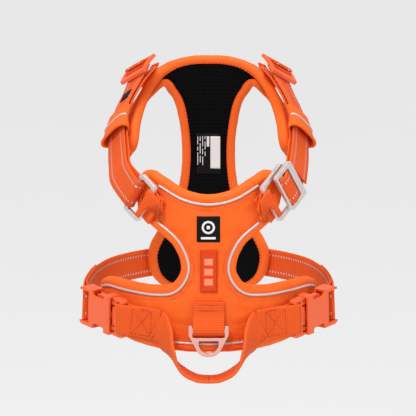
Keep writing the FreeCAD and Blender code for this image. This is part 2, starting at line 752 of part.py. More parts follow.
def make_slider(side, sign):
    """An arched plastic slider with two slots and a centre bar."""
    body = body_at("slider_" + side, slider_frame(sign))
    length, gauge = size("slider_length"), size("slider_gauge")
    rise, low = SLIDER_RISE, 7.1
    profile = sketch_on(body, "XZ_Plane", "slider_profile_" + side)
    ends = length / 2
    for lift, way in ((-gauge / 2, 1), (gauge / 2, -1)):
        points = [V(-ends, low + lift, 0), V(0, rise + lift, 0), V(ends, low + lift, 0)]
        if way < 0:
            points.reverse()
        profile.addGeometry(Part.Arc(*points))
    profile.addGeometry(Part.LineSegment(V(ends, low - gauge / 2, 0), V(ends, low + gauge / 2, 0)))
    profile.addGeometry(Part.LineSegment(V(-ends, low + gauge / 2, 0), V(-ends, low - gauge / 2, 0)))
    pad(body, profile, "slider_pad_" + side, "slider_width")
    slots = sketch_on(body, "XY_Plane", "slider_slots_" + side)
    for way in (-1, 1):
        low_x, high_x = sorted((way * 1.9, way * 7.6))
        add_slot(slots, (low_x, -13.0), (high_x, 13.0), 1.0)
    pocket(body, slots, "slider_slot_pocket_" + side, "webbing")


def make_keeper(side, sign):
    """A cloth sleeve sewn to the arm, with the doubled neck strap running loosely through it."""
    stations = [neck_between(at, sign) for at in (4.45, 5.1, 5.75)]
    normals = [n for c, n in stations]
    outer = strip_along([c + n * 3.2 for c, n in stations], normals, 11.0, 33.0)
    first = stations[0][0] - stations[1][0]
    last = stations[2][0] - stations[1][0]
    longer = [(stations[0][0] + first * 0.2, normals[0])] + stations
    longer.append((stations[2][0] + last * 0.2, normals[2]))
    inner = strip_along([c + n * 3.2 for c, n in longer], [n for c, n in longer], 8.6, 30.4)
    feature("keeper_" + side, outer.cut(inner))


def make_hook():
    """The release hook: a metal frame about the strap's end whose legs catch the ring's far bar."""
    body = body_at("neck_hook", shoulder_frame(1))
    half = size("hook_width") / 2
    low, high = HOOK_BAR - 6.6, HOOK_BAR - 6.6 + size("hook_length")
    plate_sketch = sketch_on(body, "XY_Plane", "hook_outline")
    plate_sketch.AttachmentOffset = FreeCAD.Placement(V(0, 0, HOOK_LIFT), FreeCAD.Rotation())
    add_slot(plate_sketch, (low, -half), (high, half), 2.4)
    pad(body, plate_sketch, "hook_plate", "slider_gauge")
    window = sketch_on(body, "XY_Plane", "hook_window")
    add_rectangle(window, (HOOK_BAR + 1.9, -13.1), (high - 6.0, 13.1))
    pocket(body, window, "hook_window_pocket", "webbing")
    gap = sketch_on(body, "XY_Plane", "hook_gap")
    add_rectangle(gap, (low + 2.2, -13.1), (HOOK_BAR - 1.9, 13.1))
    pocket(body, gap, "hook_gap_pocket", "webbing")


def make_side_tag():
    """A small black tag sewn to the left neck strap above the keeper."""
    (a, na), (b, nb) = neck_point(3, -1), neck_point(4, -1)
    lift = TOP_LIFT + GAUGE + 0.2
    points = [a * 0.7 + b * 0.3 + na * lift, a * 0.35 + b * 0.65 + nb * lift]
    feature("side_tag", strip_along(points, [na, nb], 1.0, 12.0))


# ---------------------------------------------------------------- build
make_back_panel()
make_chest_panel()
for side, sign in MIRRORS:
    make_male(side, sign)
    make_latches(side, sign)
    make_socket(side, sign)
    make_side_strap(side, sign)
    make_belly_strap(side, sign)
    make_shoulder_ring(side, sign)
    make_shoulder_loop(side, sign)
    make_neck_strap(side, sign)
    make_top_strap(side, sign)
    make_slider(side, sign)
    make_keeper(side, sign)
make_hook()
make_leash_ring("leash_ring_back", BACK_RING_Z, BACK, 14.0)
make_leash_ring("leash_ring_chest", CHEST_RING_Z, CHEST, 134.0)
make_handle()
make_trims()
make_side_tag()
doc.recompute()

for obj in doc.Objects:
    if "Invalid" in obj.State or "Error" in obj.State:
        raise RuntimeError("%s failed: %s" % (obj.Name, obj.State))
for obj in sub_parts:
    if obj.Shape.isNull() or not obj.Shape.isValid() or obj.Shape.Volume <= 0:
        raise RuntimeError("%s isn't a valid solid" % obj.Label)

os.makedirs("parts", exist_ok=True)
for obj in sub_parts:
    obj.Shape.exportStep("parts/%s.step" % obj.Label)
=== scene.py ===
import math

import bpy
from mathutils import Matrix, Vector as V
from mathutils.geometry import delaunay_2d_cdt


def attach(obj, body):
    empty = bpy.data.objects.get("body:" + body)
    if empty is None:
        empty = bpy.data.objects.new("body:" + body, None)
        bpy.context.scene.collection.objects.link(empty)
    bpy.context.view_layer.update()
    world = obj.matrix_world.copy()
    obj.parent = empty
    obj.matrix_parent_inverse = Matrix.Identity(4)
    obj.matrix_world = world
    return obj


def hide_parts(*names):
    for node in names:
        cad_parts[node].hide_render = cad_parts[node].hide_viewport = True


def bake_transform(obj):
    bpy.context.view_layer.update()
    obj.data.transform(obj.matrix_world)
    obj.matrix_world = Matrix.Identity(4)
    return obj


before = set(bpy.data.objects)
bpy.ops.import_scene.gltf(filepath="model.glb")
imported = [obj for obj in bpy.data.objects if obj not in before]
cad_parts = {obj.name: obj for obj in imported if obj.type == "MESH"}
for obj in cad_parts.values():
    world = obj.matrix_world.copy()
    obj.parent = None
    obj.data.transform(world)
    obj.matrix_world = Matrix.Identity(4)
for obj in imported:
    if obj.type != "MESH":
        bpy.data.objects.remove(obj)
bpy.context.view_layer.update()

# All measures below are millimetres in the harness's frame; meshes are made in metres.
MM = 0.001
BACK, CHEST = -1, 1
MIRRORS = (("left", -1), ("right", 1))


# ---- the body form
GIRTH = 93.0    # mean radius, used to measure along the form


def half_width(z):
    return 92.0 - 0.09 * z


def half_depth(z):
    return 94.0 - 0.07 * z


def skin(x, z, offset=0.0, side=BACK):
    """The point of the grown form at x and z."""
    width, depth = half_width(z) + offset, half_depth(z) + offset
    return V((x, side * depth * math.sqrt(max(0.0, 1 - (x / width) ** 2)), z))


def outward(x, z, side=BACK):
    width, depth = half_width(z), half_depth(z)
    y = side * depth * math.sqrt(max(0.0, 1 - (x / width) ** 2))
    rise = 0.09 * x * x / width ** 3 + 0.07 * y * y / depth ** 3
    return V((x / width ** 2, y / depth ** 2, rise)).normalized()


def girth_of(x, z):
    """Distance round the form from its middle."""
    return GIRTH * math.asin(max(-1.0, min(1.0, x / half_width(z))))


def on_form(s, z, offset, side):
    """The point at girth distance s and height z, lifted along the form's normal."""
    x = half_width(z) * math.sin(s / GIRTH)
    return skin(x, z, 0, side) + outward(x, z, side) * offset


def on_chart(p, offset, side):
    return on_form(p.x, p.y, offset, side)


def across_of(p):
    """How far a chart point is from the harness's middle plane."""
    return half_width(p.y) * math.sin(p.x / GIRTH)


def chart_normal(p, side):
    return outward(across_of(p), p.y, side)


# ---- curves
def spline(points, count, closed=False):
    """count points of a Catmull-Rom curve, evenly spread along its length."""
    return paired(points, [V((0, 0, 1))] * len(points), count, closed)[0]


def paired(points, ways, count, closed=False):
    """A curve through points with the directions that belong to its points."""
    size = len(points)
    fine, turned = [], []
    per = 16    # points in each span
    for k in range(size if closed else size - 1):
        if closed:
            a, b, c, d = (points[(k + n) % size] for n in (-1, 0, 1, 2))
        else:
            b, c = points[k], points[k + 1]
            a = points[k - 1] if k else b * 2 - c
            d = points[k + 2] if k + 2 < size else c * 2 - b
        for n in range(per):
            t = n / per
            fine.append((b * 2 + (c - a) * t + (a * 2 - b * 5 + c * 4 - d) * t * t
                         + (b * 3 - a - c * 3 + d) * t * t * t) * 0.5)
            turned.append(ways[k].lerp(ways[(k + 1) % size], t))
    fine.append((points[0] if closed else points[-1]).copy())
    turned.append(ways[0] if closed else ways[-1])
    lengths = distances(fine)
    out, out_ways, k = [], [], 0
    steps = count if closed else count - 1
    for n in range(count):
        want = lengths[-1] * n / steps
        while k < len(lengths) - 2 and lengths[k + 1] < want:
            k += 1
        share = min(1.0, (want - lengths[k]) / max(lengths[k + 1] - lengths[k], 1e-9))
        out.append(fine[k].lerp(fine[k + 1], share))
        out_ways.append(turned[k].lerp(turned[k + 1], share).normalized())
    return out, out_ways


def distances(points):
    """How far along a curve each of its points lies."""
    out = [0.0]
    for a, b in zip(points, points[1:]):
        out.append(out[-1] + (b - a).length)
    return out


def length_of(points):
    return distances(points)[-1]


def square_to(ahead, normal):
    """The sideways and the outward direction of a path whose face looks along the normal."""
    across = ahead.cross(normal).normalized()
    lift = across.cross(ahead).normalized()
    return across, lift if lift.dot(normal) > 0 else -lift


# ---- materials
class Nodes:
    """A small way to write a material's node tree."""

    def __init__(self, name):
        self.material = bpy.data.materials.new(name)
        self.material.use_nodes = True
        self.tree = self.material.node_tree
        self.shader = self.tree.nodes["Principled BSDF"]

    def add(self, kind, values=None, **props):
        node = self.tree.nodes.new(kind)
        for key, value in props.items():
            setattr(node, key, value)
        for key, value in (values or {}).items():
            self.put(node.inputs[key], value)
        return node

    def put(self, socket, value):
        if isinstance(value, bpy.types.NodeSocket):
            self.tree.links.new(value, socket)
        else:
            colour = socket.type == "RGBA"
            socket.default_value = (*value, 1.0) if colour else value

    def math(self, operation, a, b=0.0, c=0.0):
        return self.add("ShaderNodeMath", {0: a, 1: b, 2: c}, operation=operation).outputs[0]

    def times(self, a, b):
        return self.math("MULTIPLY", a, b)

    def plus(self, a, b):
        return self.math("ADD", a, b)

    def minus(self, a, b):
        return self.math("SUBTRACT", a, b)

    def mix(self, share, a, b):
        node = self.add("ShaderNodeMix", data_type="RGBA")
        self.put(node.inputs[0], share)
        self.put(node.inputs[6], a)
        self.put(node.inputs[7], b)
        return node.outputs[2]

    def noise(self, vector, scale, detail=2.0):
        values = {"Scale": scale, "Detail": detail, "Vector": vector}
        return self.add("ShaderNodeTexNoise", values).outputs["Fac"]

    def ramp(self, value, low, high):
        """0 at low, 1 at high."""
        values = {"Value": value, "From Min": low, "From Max": high}
        return self.add("ShaderNodeMapRange", values).outputs[0]

    def bump(self, strength, distance, height, **normal):
        values = {"Strength": strength, "Distance": distance, "Height": height, **normal}
        return self.add("ShaderNodeBump", values).outputs[0]

    def object_place(self):
        return self.add("ShaderNodeTexCoord").outputs["Object"]

    def rounded_edge_highlight(self, radius):
        """The normal of softly rounded edges, and a mask of those edges for a painted highlight."""
        round_edge = self.add("ShaderNodeBevel", {"Radius": radius}, samples=6).outputs[0]
        normal = self.add("ShaderNodeNewGeometry").outputs["Normal"]
        facing = self.add("ShaderNodeVectorMath", {0: round_edge, 1: normal}, operation="DOT_PRODUCT")
        return round_edge, self.ramp(facing.outputs["Value"], 0.995, 0.85)

    def band(self, value, middle, half, soft):
        """1 within half of middle, fading over soft."""
        return self.ramp(self.math("ABSOLUTE", self.minus(value, middle)), half + soft, half)

    def finish(self, **inputs):
        for key, value in inputs.items():
            self.put(self.shader.inputs[key.replace("_", " ")], value)
        return self.material


ORANGE = (0.93, 0.145, 0.017)
# ORANGE_DEEP is a darker orange; it also serves as painted shade in the webbing's rib troughs and along the
# rolled edge's seam
ORANGE_DEEP = (0.80, 0.060, 0.006)
ORANGE_WEB = (0.92, 0.132, 0.020)
ORANGE_PLASTIC = (0.95, 0.125, 0.024)
SILVER_TAPE = (0.68, 0.58, 0.56)
WARM_SHEEN = {"Sheen_Weight": 0.04, "Sheen_Tint": (1.0, 0.5, 0.3)}


def cloth_coordinates(n):
    """Coordinates along the cloth in millimetres, together and one by one."""
    uv = n.add("ShaderNodeUVMap", uv_map="cloth").outputs[0]
    split = n.add("ShaderNodeSeparateXYZ", {0: uv})
    return uv, split.outputs[0], split.outputs[1]


def waves(n, coordinate, pitch):
    """A sine from 0 to 1 with that pitch in millimetres."""
    turned = n.math("SINE", n.times(coordinate, 2 * math.pi / pitch))
    return n.math("MULTIPLY_ADD", turned, 0.5, 0.5)


def make_face_cloth():
    """Plain woven nylon laminated to foam."""
    n = Nodes("face_cloth_woven")
    uv, u, v = cloth_coordinates(n)
    place = n.object_place()
    over, under = waves(n, u, 0.62), waves(n, v, 0.62)
    weave = n.times(n.minus(over, 0.5), n.minus(under, 0.5))
    broad = n.noise(place, 34.0, 3.0)
    fine = n.noise(uv, 1.7, 4.0)
    base = n.mix(n.times(broad, 0.28), ORANGE, ORANGE_DEEP)
    base = n.mix(n.times(fine, 0.10), base, (0.95, 0.22, 0.05))
    height = n.plus(n.times(weave, 0.7), n.times(fine, 0.9))
    bump = n.bump(0.22, 0.00025, height)
    return n.finish(Base_Color=base, Roughness=n.math("MULTIPLY_ADD", fine, 0.15, 0.62),
                    Sheen_Roughness=0.4, Specular_IOR_Level=0.15, Normal=bump, **WARM_SHEEN)


def make_roll_cloth():
    """Smooth stretch cloth of the rolled edges, with puckers along its seam and painted shade in the seam."""
    n = Nodes("roll_cloth_stretch")
    uv, u, v = cloth_coordinates(n)
    fine = n.noise(uv, 1.3, 3.0)
    pucker = n.times(waves(n, v, 3.1), n.band(u, 7.6, 0.4, 3.0))
    seam = n.band(u, 7.0, 0.25, 0.35)
    base = n.mix(n.times(fine, 0.2), (0.95, 0.145, 0.014), ORANGE)
    # painted shade: the sunk seam line is darkened
    base = n.mix(n.times(seam, 0.55), base, ORANGE_DEEP)
    height = n.plus(pucker, n.times(fine, 0.35))
    height = n.minus(height, n.times(seam, 0.8))
    bump = n.bump(0.35, 0.0005, height)
    return n.finish(Base_Color=base, Roughness=0.58, Sheen_Roughness=0.35, Specular_IOR_Level=0.2,
                    Normal=bump, **WARM_SHEEN)


def make_mesh_cloth():
    """Black spacer mesh: rows of small holes, set like bricks."""
    n = Nodes("spacer_mesh_black")
    uv = cloth_coordinates(n)[0]
    cells = n.add("ShaderNodeTexVoronoi", {"Scale": 0.3, "Randomness": 0.12, "Vector": uv},
                  distance="EUCLIDEAN", feature="F1")
    hole = n.ramp(cells.outputs["Distance"], 0.22, 0.42)
    knit = n.noise(uv, 2.6, 3.0)
    thread = n.mix(knit, (0.0012, 0.0012, 0.0014), (0.005, 0.005, 0.0055))
    base = n.mix(hole, (0.0012, 0.0012, 0.0014), thread)
    bump = n.bump(0.6, 0.0009, hole)
    return n.finish(Base_Color=base, Roughness=0.7, Specular_IOR_Level=0.06, Normal=bump)


def make_webbing(name, dashes=False, rib_pitch=2.2, along=False, tint=ORANGE_WEB):
    """Nylon webbing; u runs across from the middle and v along it."""
    n = Nodes(name)
    uv, u, v = cloth_coordinates(n)
    rib = waves(n, u if along else v, rib_pitch)
    cross = waves(n, v if along else u, 0.9)
    fine = n.noise(uv, 2.2, 3.0)
    # edge marks the webbing's rounded edges, which get a painted highlight
    edge = n.ramp(n.math("ABSOLUTE", u), 10.6, 12.2)
    base = n.mix(n.times(fine, 0.22), tint, ORANGE_DEEP)
    # painted shade: the troughs between the ribs are darkened
    base = n.mix(n.times(n.minus(1.0, rib), 0.45), base, ORANGE_DEEP)
    # painted highlight: the rounded edges are mixed towards a lighter orange
    base = n.mix(n.times(edge, 0.25), base, (0.95, 0.19, 0.04))
    rough = n.math("MULTIPLY_ADD", fine, 0.15, 0.6)
    height = n.plus(rib, n.times(cross, 0.35))
    if dashes:
        row = n.band(n.math("ABSOLUTE", u), 7.3, 0.75, 0.15)
        beat = n.math("FRACT", n.math("DIVIDE", v, 2.9))
        dash = n.times(row, n.band(beat, 0.5, 0.18, 0.05))
        base = n.mix(n.times(row, 0.6), base, ORANGE_DEEP)
        base = n.mix(dash, base, SILVER_TAPE)
        rough = n.minus(rough, n.times(dash, 0.25))
        height = n.plus(height, n.times(dash, 0.8))
    bump = n.bump(0.7, 0.0005, height)
    return n.finish(Base_Color=base, Roughness=rough, Sheen_Roughness=0.4, Specular_IOR_Level=0.15,
                    Normal=bump, **WARM_SHEEN)


def make_piping():
    """Reflective cord piping with a fine diagonal twist."""
    n = Nodes("reflective_piping_silver")
    uv, u, v = cloth_coordinates(n)
    twist = waves(n, n.plus(u, v), 1.1)
    dust = n.noise(uv, 1.2, 3.0)
    base = n.mix(n.times(twist, 0.35), (0.66, 0.58, 0.57), (0.42, 0.36, 0.36))
    base = n.mix(n.times(dust, 0.2), base, (0.85, 0.80, 0.79))
    bump = n.bump(0.2, 0.0002, twist)
    return n.finish(Base_Color=base, Roughness=0.38, Metallic=0.25, Normal=bump)


def make_plastic():
    """Satin moulded acetal with a painted highlight on its softly rounded edges and a faint spark texture."""
    n = Nodes("buckle_plastic_moulded")
    place = n.object_place()
    cloud = n.noise(place, 45.0, 2.0)
    spark = n.noise(place, 3200.0, 2.0)
    round_edge, edge_highlight = n.rounded_edge_highlight(0.0009)
    base = n.mix(n.times(cloud, 0.25), ORANGE_PLASTIC, (0.95, 0.14, 0.03))
    # painted highlight: the rounded edges are mixed towards a lighter orange
    base = n.mix(n.times(edge_highlight, 0.35), base, (1.0, 0.28, 0.10))
    bump = n.bump(0.08, 0.0001, spark, Normal=round_edge)
    return n.finish(Base_Color=base, Roughness=n.math("MULTIPLY_ADD", spark, 0.08, 0.33),
                    Subsurface_Weight=0.05, Subsurface_Radius=(0.003, 0.001, 0.0005),
                    Subsurface_Scale=0.3, Normal=bump)


def make_alloy(name, base_colour, highlight_colour):
    """Bead blasted, anodised alloy with a painted highlight on its rounded edges."""
    n = Nodes(name)
    place = n.object_place()
    cloud = n.noise(place, 60.0, 3.0)
    grain = n.noise(place, 2600.0, 2.0)
    scratch = n.add("ShaderNodeMapping", {"Scale": (900.0, 60.0, 60.0), "Vector": place})
    lines = n.noise(scratch.outputs[0], 1.0, 3.0)
    round_edge, edge_highlight = n.rounded_edge_highlight(0.0007)
    base = n.mix(n.times(cloud, 0.2), base_colour, highlight_colour)
    # painted highlight: the rounded edges take the lighter colour
    base = n.mix(edge_highlight, base, highlight_colour)
    height = n.plus(grain, n.times(lines, 0.3))
    bump = n.bump(0.08, 0.0001, height, Normal=round_edge)
    return n.finish(Base_Color=base, Metallic=0.75, Normal=bump,
                    Roughness=n.math("MULTIPLY_ADD", cloud, 0.15, 0.33))


def make_label(name, thread):
    """Satin woven label."""
    n = Nodes(name)
    u, v = cloth_coordinates(n)[1:]
    weave = n.times(waves(n, u, 0.5), waves(n, v, 0.5))
    base = n.mix(weave, thread, tuple(min(1.0, c * 1.5 + 0.0015) for c in thread))
    bump = n.bump(0.2, 0.0002, weave)
    return n.finish(Base_Color=base, Roughness=0.6, Specular_IOR_Level=0.15, Normal=bump)


def make_thread(name, tint):
    n = Nodes(name)
    place = n.object_place()
    ply = n.noise(place, 2500.0, 2.0)
    base = n.mix(n.times(ply, 0.4), tint, ORANGE_DEEP)
    bump = n.bump(0.3, 0.0001, ply)
    return n.finish(Base_Color=base, Roughness=0.55, Sheen_Weight=0.05, Normal=bump)


FACE = make_face_cloth()
ROLL = make_roll_cloth()
MESH = make_mesh_cloth()
WEB_DASHED = make_webbing("webbing_reflective_rows", dashes=True, rib_pitch=1.5)
WEB_CROSS = make_webbing("webbing_cross_ribbed", rib_pitch=2.0)
WEB_TAB = make_webbing("webbing_tab", rib_pitch=1.1, tint=(0.88, 0.070, 0.012))
WEB_LONG = make_webbing("webbing_lengthways_ribbed", rib_pitch=2.3, along=True)
PIPING = make_piping()
TAB_BARS = make_label("tab_bars_print", (0.86, 0.24, 0.13))
PLASTIC = make_plastic()
SILVER = make_alloy("silver_alloy_satin", (0.80, 0.72, 0.69), (0.95, 0.91, 0.88))
ROSE = make_alloy("rose_alloy_satin", (0.90, 0.50, 0.42), (1.0, 0.76, 0.70))
LABEL_BLACK = make_label("label_black_woven", (0.003, 0.003, 0.0035))
LABEL_WHITE = make_label("label_white_print", (0.78, 0.77, 0.76))
THREAD = make_thread("stitching_orange", (0.95, 0.12, 0.02))
THREAD_DARK = make_thread("stitching_deep_orange", (0.55, 0.035, 0.008))


# ---- mesh building
def link(obj):
    bpy.context.scene.collection.objects.link(obj)
    return obj


def build(name, points, faces, uvs, material):
    """A closed mesh object from points in millimetres; uvs holds one pair for each point."""
    corners = ((points[f[0]], points[f[i]], points[f[i + 1]]) for f in faces for i in range(1, len(f) - 1))
    if sum(a.dot(b.cross(c)) for a, b, c in corners) < 0:
        faces = [tuple(reversed(f)) for f in faces]
    mesh = bpy.data.meshes.new(name)
    mesh.from_pydata([tuple(p * MM) for p in points], [], faces)
    layer = mesh.uv_layers.new(name="cloth")
    for loop in mesh.loops:
        layer.data[loop.index].uv = uvs[loop.vertex_index]
    mesh.polygons.foreach_set("use_smooth", [True] * len(mesh.polygons))
    mesh.materials.append(material)
    return link(bpy.data.objects.new(name, mesh))


def place(obj, slot, *nodes, body="root"):
    """Says what a piece rides on and which CAD nodes it stands for; slot is not used."""
    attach(obj, body)
    if nodes:
        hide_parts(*nodes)
    return obj


def bending(webbing, body, start, end, *nodes):
    """Bakes the webbing's transform and hides the CAD nodes it stands for; body, start and end are not used.
    """
    if nodes:
        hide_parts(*nodes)
    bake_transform(webbing)


def band_faces(a, b, count):
    """Faces between two closed rings of points, whose first points are a and b."""
    pairs = [(n, (n + 1) % count) for n in range(count)]
    return [(a + n, a + m, b + m, b + n) for n, m in pairs]


def shell_faces(rows, columns):
    """Faces round two equal grids of points: the front grid, then the back one."""
    total = rows * columns
    faces = []
    for r in range(rows - 1):
        for a in range(r * columns, r * columns + columns - 1):
            faces.append((a, a + 1, a + 1 + columns, a + columns))
            faces.append((total + a + columns, total + a + 1 + columns, total + a + 1, total + a))
    ring = list(range(columns)) + [r * columns + columns - 1 for r in range(1, rows)]
    ring += [total - 2 - c for c in range(columns - 1)] + [r * columns for r in range(rows - 2, 0, -1)]
    return faces + [(a, total + a, total + b, b) for a, b in zip(ring, ring[1:] + ring[:1])]


def sweep(name, sections, uvs, material, closed_path=False):
    """Joins equal closed sections along a path; open paths get end caps."""
    ring = len(sections[0])
    points = [p for section in sections for p in section]
    flat_uvs = [uv for row in uvs for uv in row]
    faces = []
    for k in range(len(sections) if closed_path else len(sections) - 1):
        faces += band_faces(k * ring, (k + 1) % len(sections) * ring, ring)
    if not closed_path:
        faces.append(tuple(reversed(range(ring))))
        faces.append(tuple(range(len(points) - ring, len(points))))
    return build(name, points, faces, flat_uvs, material)


ROLL_PROFILE = [  # how far in from the edge and how far out from the form
    (8.2, -0.6), (7.9, 0.25), (7.0, 0.2), (5.6, 0.75), (3.8, 0.95), (2.2, 0.5), (0.9, -0.7), (0.15, -2.3),
    (0.0, -3.6), (0.2, -5.0), (0.9, -6.4), (2.2, -7.4), (3.8, -7.8), (5.6, -7.7), (7.2, -7.4), (8.0, -6.4),
]


def roll(name, points, normals, inwards, narrow=1.0, deep=1.0):
    """A rolled edge binding round a closed path."""
    sections, uvs = [], []
    for point, normal, inward, travelled in zip(points, normals, inwards, distances(points)):
        swell = 0.12 * math.sin(travelled * 0.21) + 0.10 * math.sin(travelled * 0.53 + 1.3)
        row = []
        for across, height in ROLL_PROFILE:
            lift = swell * min(1.0, max(0.0, (7.0 - across) / 4))
            depth = height + lift if height > -3 else height * deep
            row.append(point + inward * (across - lift * 0.6) * narrow + normal * depth)
        sections.append(row)
        uvs.append([(across, travelled) for across, height in ROLL_PROFILE])
    return sweep(name, sections, uvs, ROLL, closed_path=True)


def tube(name, points, radius, material, sides=8):
    """A round cord through points."""
    sections, uvs = [], []
    last = len(points) - 1
    guide = (points[1] - points[0]).normalized().orthogonal().normalized()
    for k, (point, travelled) in enumerate(zip(points, distances(points))):
        ahead = (points[min(k + 1, last)] - points[max(k - 1, 0)]).normalized()
        guide = (guide - ahead * guide.dot(ahead)).normalized()
        other = ahead.cross(guide)
        sections.append([point + (guide * math.cos(a) + other * math.sin(a)) * radius
                         for a in (2 * math.pi * n / sides for n in range(sides))])
        uvs.append([(2 * math.pi * radius * n / sides, travelled) for n in range(sides)])
    return sweep(name, sections, uvs, material)


def strap(name, centres, normals, material, width=25.0, gauge=1.6):
    """Flat webbing through centres with soft edges; its face looks along the normals."""
    step = 1.6
    path, ways = paired(centres, normals, max(4, int(length_of(centres) / step)))
    half, thick = width / 2, gauge / 2
    edge = min(0.7, thick)
    lanes = 8
    above = [((half - edge) * (2 * n / lanes - 1), thick) for n in range(lanes + 1)]
    above += [(half - edge * 0.25, thick * 0.55), (half, 0.0)]
    profile = above + [(half - edge * 0.25, -thick * 0.55)]
    profile += [(-a, -h) for a, h in above] + [(-half + edge * 0.25, thick * 0.55)]
    sections, uvs = [], []
    last = len(path) - 1
    for k, (point, normal, travelled) in enumerate(zip(path, ways, distances(path))):
        across, lift = square_to((path[min(k + 1, last)] - path[max(k - 1, 0)]).normalized(), normal)
        wave = 0.10 * math.sin(travelled * 0.31 + half) + 0.07 * math.sin(travelled * 0.83)
        sections.append([point + across * a + lift * (h + wave * gauge * 0.3) for a, h in profile])
        uvs.append([(a, travelled) for a, h in profile])
    return sweep(name, sections, uvs, material)


def stitches(name, runs, material, pitch=3.0, thick=0.32):
    """Lock stitches along runs of (points, normals): short raised threads, in one mesh."""
    points, faces, uvs = [], [], []
    for line, normals in runs:
        count = max(2, int(round(length_of(line) / pitch)))
        fine, ways = paired(line, normals, count * 6 + 1)
        for k in range(0, count * 6, 6):
            start, end, normal = fine[k], fine[k + 5], ways[k + 3].normalized()
            if (end - start).length < 1e-6:
                continue
            side = (end - start).normalized().cross(normal)
            base = len(points)
            for share, size in ((-1.0, 0.25), (-0.7, 0.9), (0.0, 1.15), (0.7, 0.9), (1.0, 0.25)):
                sunk = 0.25 if abs(share) == 1 else 0
                for turn in range(6):
                    angle = 2 * math.pi * turn / 6
                    points.append((start + end) / 2 + (end - start) * share * 0.434
                                  + side * math.cos(angle) * thick * size
                                  + normal * (math.sin(angle) * thick * size - sunk))
                    uvs.append((share, turn))
            for ring in range(base, base + 24, 6):
                faces += band_faces(ring, ring + 6, 6)
            faces.append(tuple(reversed(range(base, base + 6))))
            faces.append(tuple(range(base + 24, base + 30)))
    return build(name, points, faces, uvs, material)


# ---- frames shared with the CAD
class Frame:
    """A place with its own axes: X along, Z outwards."""

    def __init__(self, origin, x_axis, z_axis):
        self.origin = origin
        self.x = x_axis.normalized()
        self.z = (z_axis - self.x * z_axis.dot(self.x)).normalized()
        self.y = self.z.cross(self.x)

    def at(self, x, y, z):
        return self.origin + self.way(x, y, z)

    def way(self, x, y, z):
        return self.x * x + self.y * y + self.z * z


def mirrored(p):
    return V((-p.x, p.y, p.z))


def flipped(x, y, z, sign):
    """A left side point or direction, mirrored when sign is positive."""
    return V((-x * sign, y, z))


def buckle_frame(sign):
    return Frame(flipped(-66.8, -77.5, -6.0, sign), flipped(-0.645, 0.762, 0.05, sign),
                 flipped(-0.762, -0.645, 0.0, sign))


RING_DIP = {-1: 0.08, 1: 0.24}
RING_LENGTH = {-1: 15.6, 1: 29.0}
HOOK_BAR, HOOK_LIFT = 17.5, 5.4


def shoulder_frame(sign):
    bar, out, strap_way = V((-47.6, -77.0, 88.8)), V((-0.606, -0.766, 0.087)), V((-0.655, 0.574, 0.493))
    start = bar + out * 2.4
    ahead = strap_way - out * RING_DIP[sign]
    return Frame(flipped(*start, sign), flipped(*ahead, sign), flipped(*out, sign))


NECK_PATH = [  # the neck strap's inner layer and the way its face looks, from the chest to the ring
    (-46.0, 72.0, 166.6, -0.64, 0.67, 0.36), (-54.6, 61.4, 167.4, -0.72, 0.30, 0.62),
    (-54.2, 47.2, 170.6, -0.50, 0.12, 0.86), (-62.4, 31.0, 160.2, -0.65, 0.02, 0.76),
    (-68.9, 16.0, 148.4, -0.76, -0.08, 0.65), (-72.4, 1.5, 136.8, -0.81, -0.16, 0.56),
    (-72.2, -13.0, 125.0, -0.83, -0.25, 0.50), (-70.8, -28.5, 114.0, -0.81, -0.39, 0.44),
    (-68.6, -46.0, 105.5, -0.73, -0.59, 0.34),
]
SLIDER_STATION, SLIDER_RISE = 2, 8.2


def neck_point(k, sign):
    x, y, z, nx, ny, nz = NECK_PATH[k]
    return flipped(x, y, z, sign), flipped(nx, ny, nz, sign).normalized()


def neck_between(at, sign):
    """The neck strap's inner layer part of the way between two of its stations."""
    k, share = int(at), at - int(at)
    (a, na), (b, nb) = neck_point(k, sign), neck_point(k + 1, sign)
    return a.lerp(b, share), na.lerp(nb, share).normalized()


def slider_frame(sign):
    here, normal = neck_point(SLIDER_STATION, sign)
    return Frame(here, here - neck_point(SLIDER_STATION + 1, sign)[0], normal)


def round_bar(bar, ahead, normal, radius, first=90.0, last=-90.0, steps=9):
    """Centres and face directions of webbing that turns about a bar."""
    centres, ways = [], []
    for k in range(steps):
        angle = math.radians(first + (last - first) * k / (steps - 1))
        way = ahead * math.cos(angle) + normal * math.sin(angle)
        centres.append(bar + way * radius)
        ways.append(way)
    return centres, ways


# ---- padded panels
BACK_HALF = [
    (0, 97.9), (-18, 101), (-36, 110), (-47, 114.6), (-56, 108), (-59, 92), (-52, 75), (-41, 66.5),
    (-29.5, 57), (-23.2, 45), (-23, 35.5), (-30, 26), (-43, 23.3), (-64.5, 22.3), (-80, 20.5),
    (-88, 13), (-88.5, 0), (-83, -14), (-70, -23.3), (-45, -27.2), (0, -28.1),
]
COLUMN_HALF = [
    (0, 167), (-18, 166.5), (-34, 163.5), (-41, 158.5), (-36, 152.5), (-30.2, 143), (-26.4, 128),
    (-23.8, 106), (-24.2, 84),
    (-27.5, 64), (-36, 42), (-46.5, 27.5), (-53, 14), (-53.6, 1.6), (-49, -13), (-38, -23.5),
    (-20, -27.6), (0, -28),
]


def whole_loop(half, count):
    """Evenly spaced chart points (girth distance, height) of a symmetric outline."""
    corners = [V((x, z, 0)) for x, z in half]
    corners += [V((-x, z, 0)) for x, z in reversed(half[1:-1])]
    return [V((girth_of(p.x, p.y), p.y)) for p in spline(corners, count, closed=True)]


def winding(loop):
    """1 for a chart loop that runs anticlockwise, otherwise -1."""
    return 1 if sum(a.x * b.y - b.x * a.y for a, b in zip(loop, loop[1:] + loop[:1])) > 0 else -1


def inward_ways(loop):
    """The direction into a closed chart loop at each of its points."""
    turn = winding(loop)
    around = zip(loop[1:] + loop[:1], loop[-1:] + loop[:-1])
    return [V((before.y - after.y, after.x - before.x)).normalized() * turn for after, before in around]


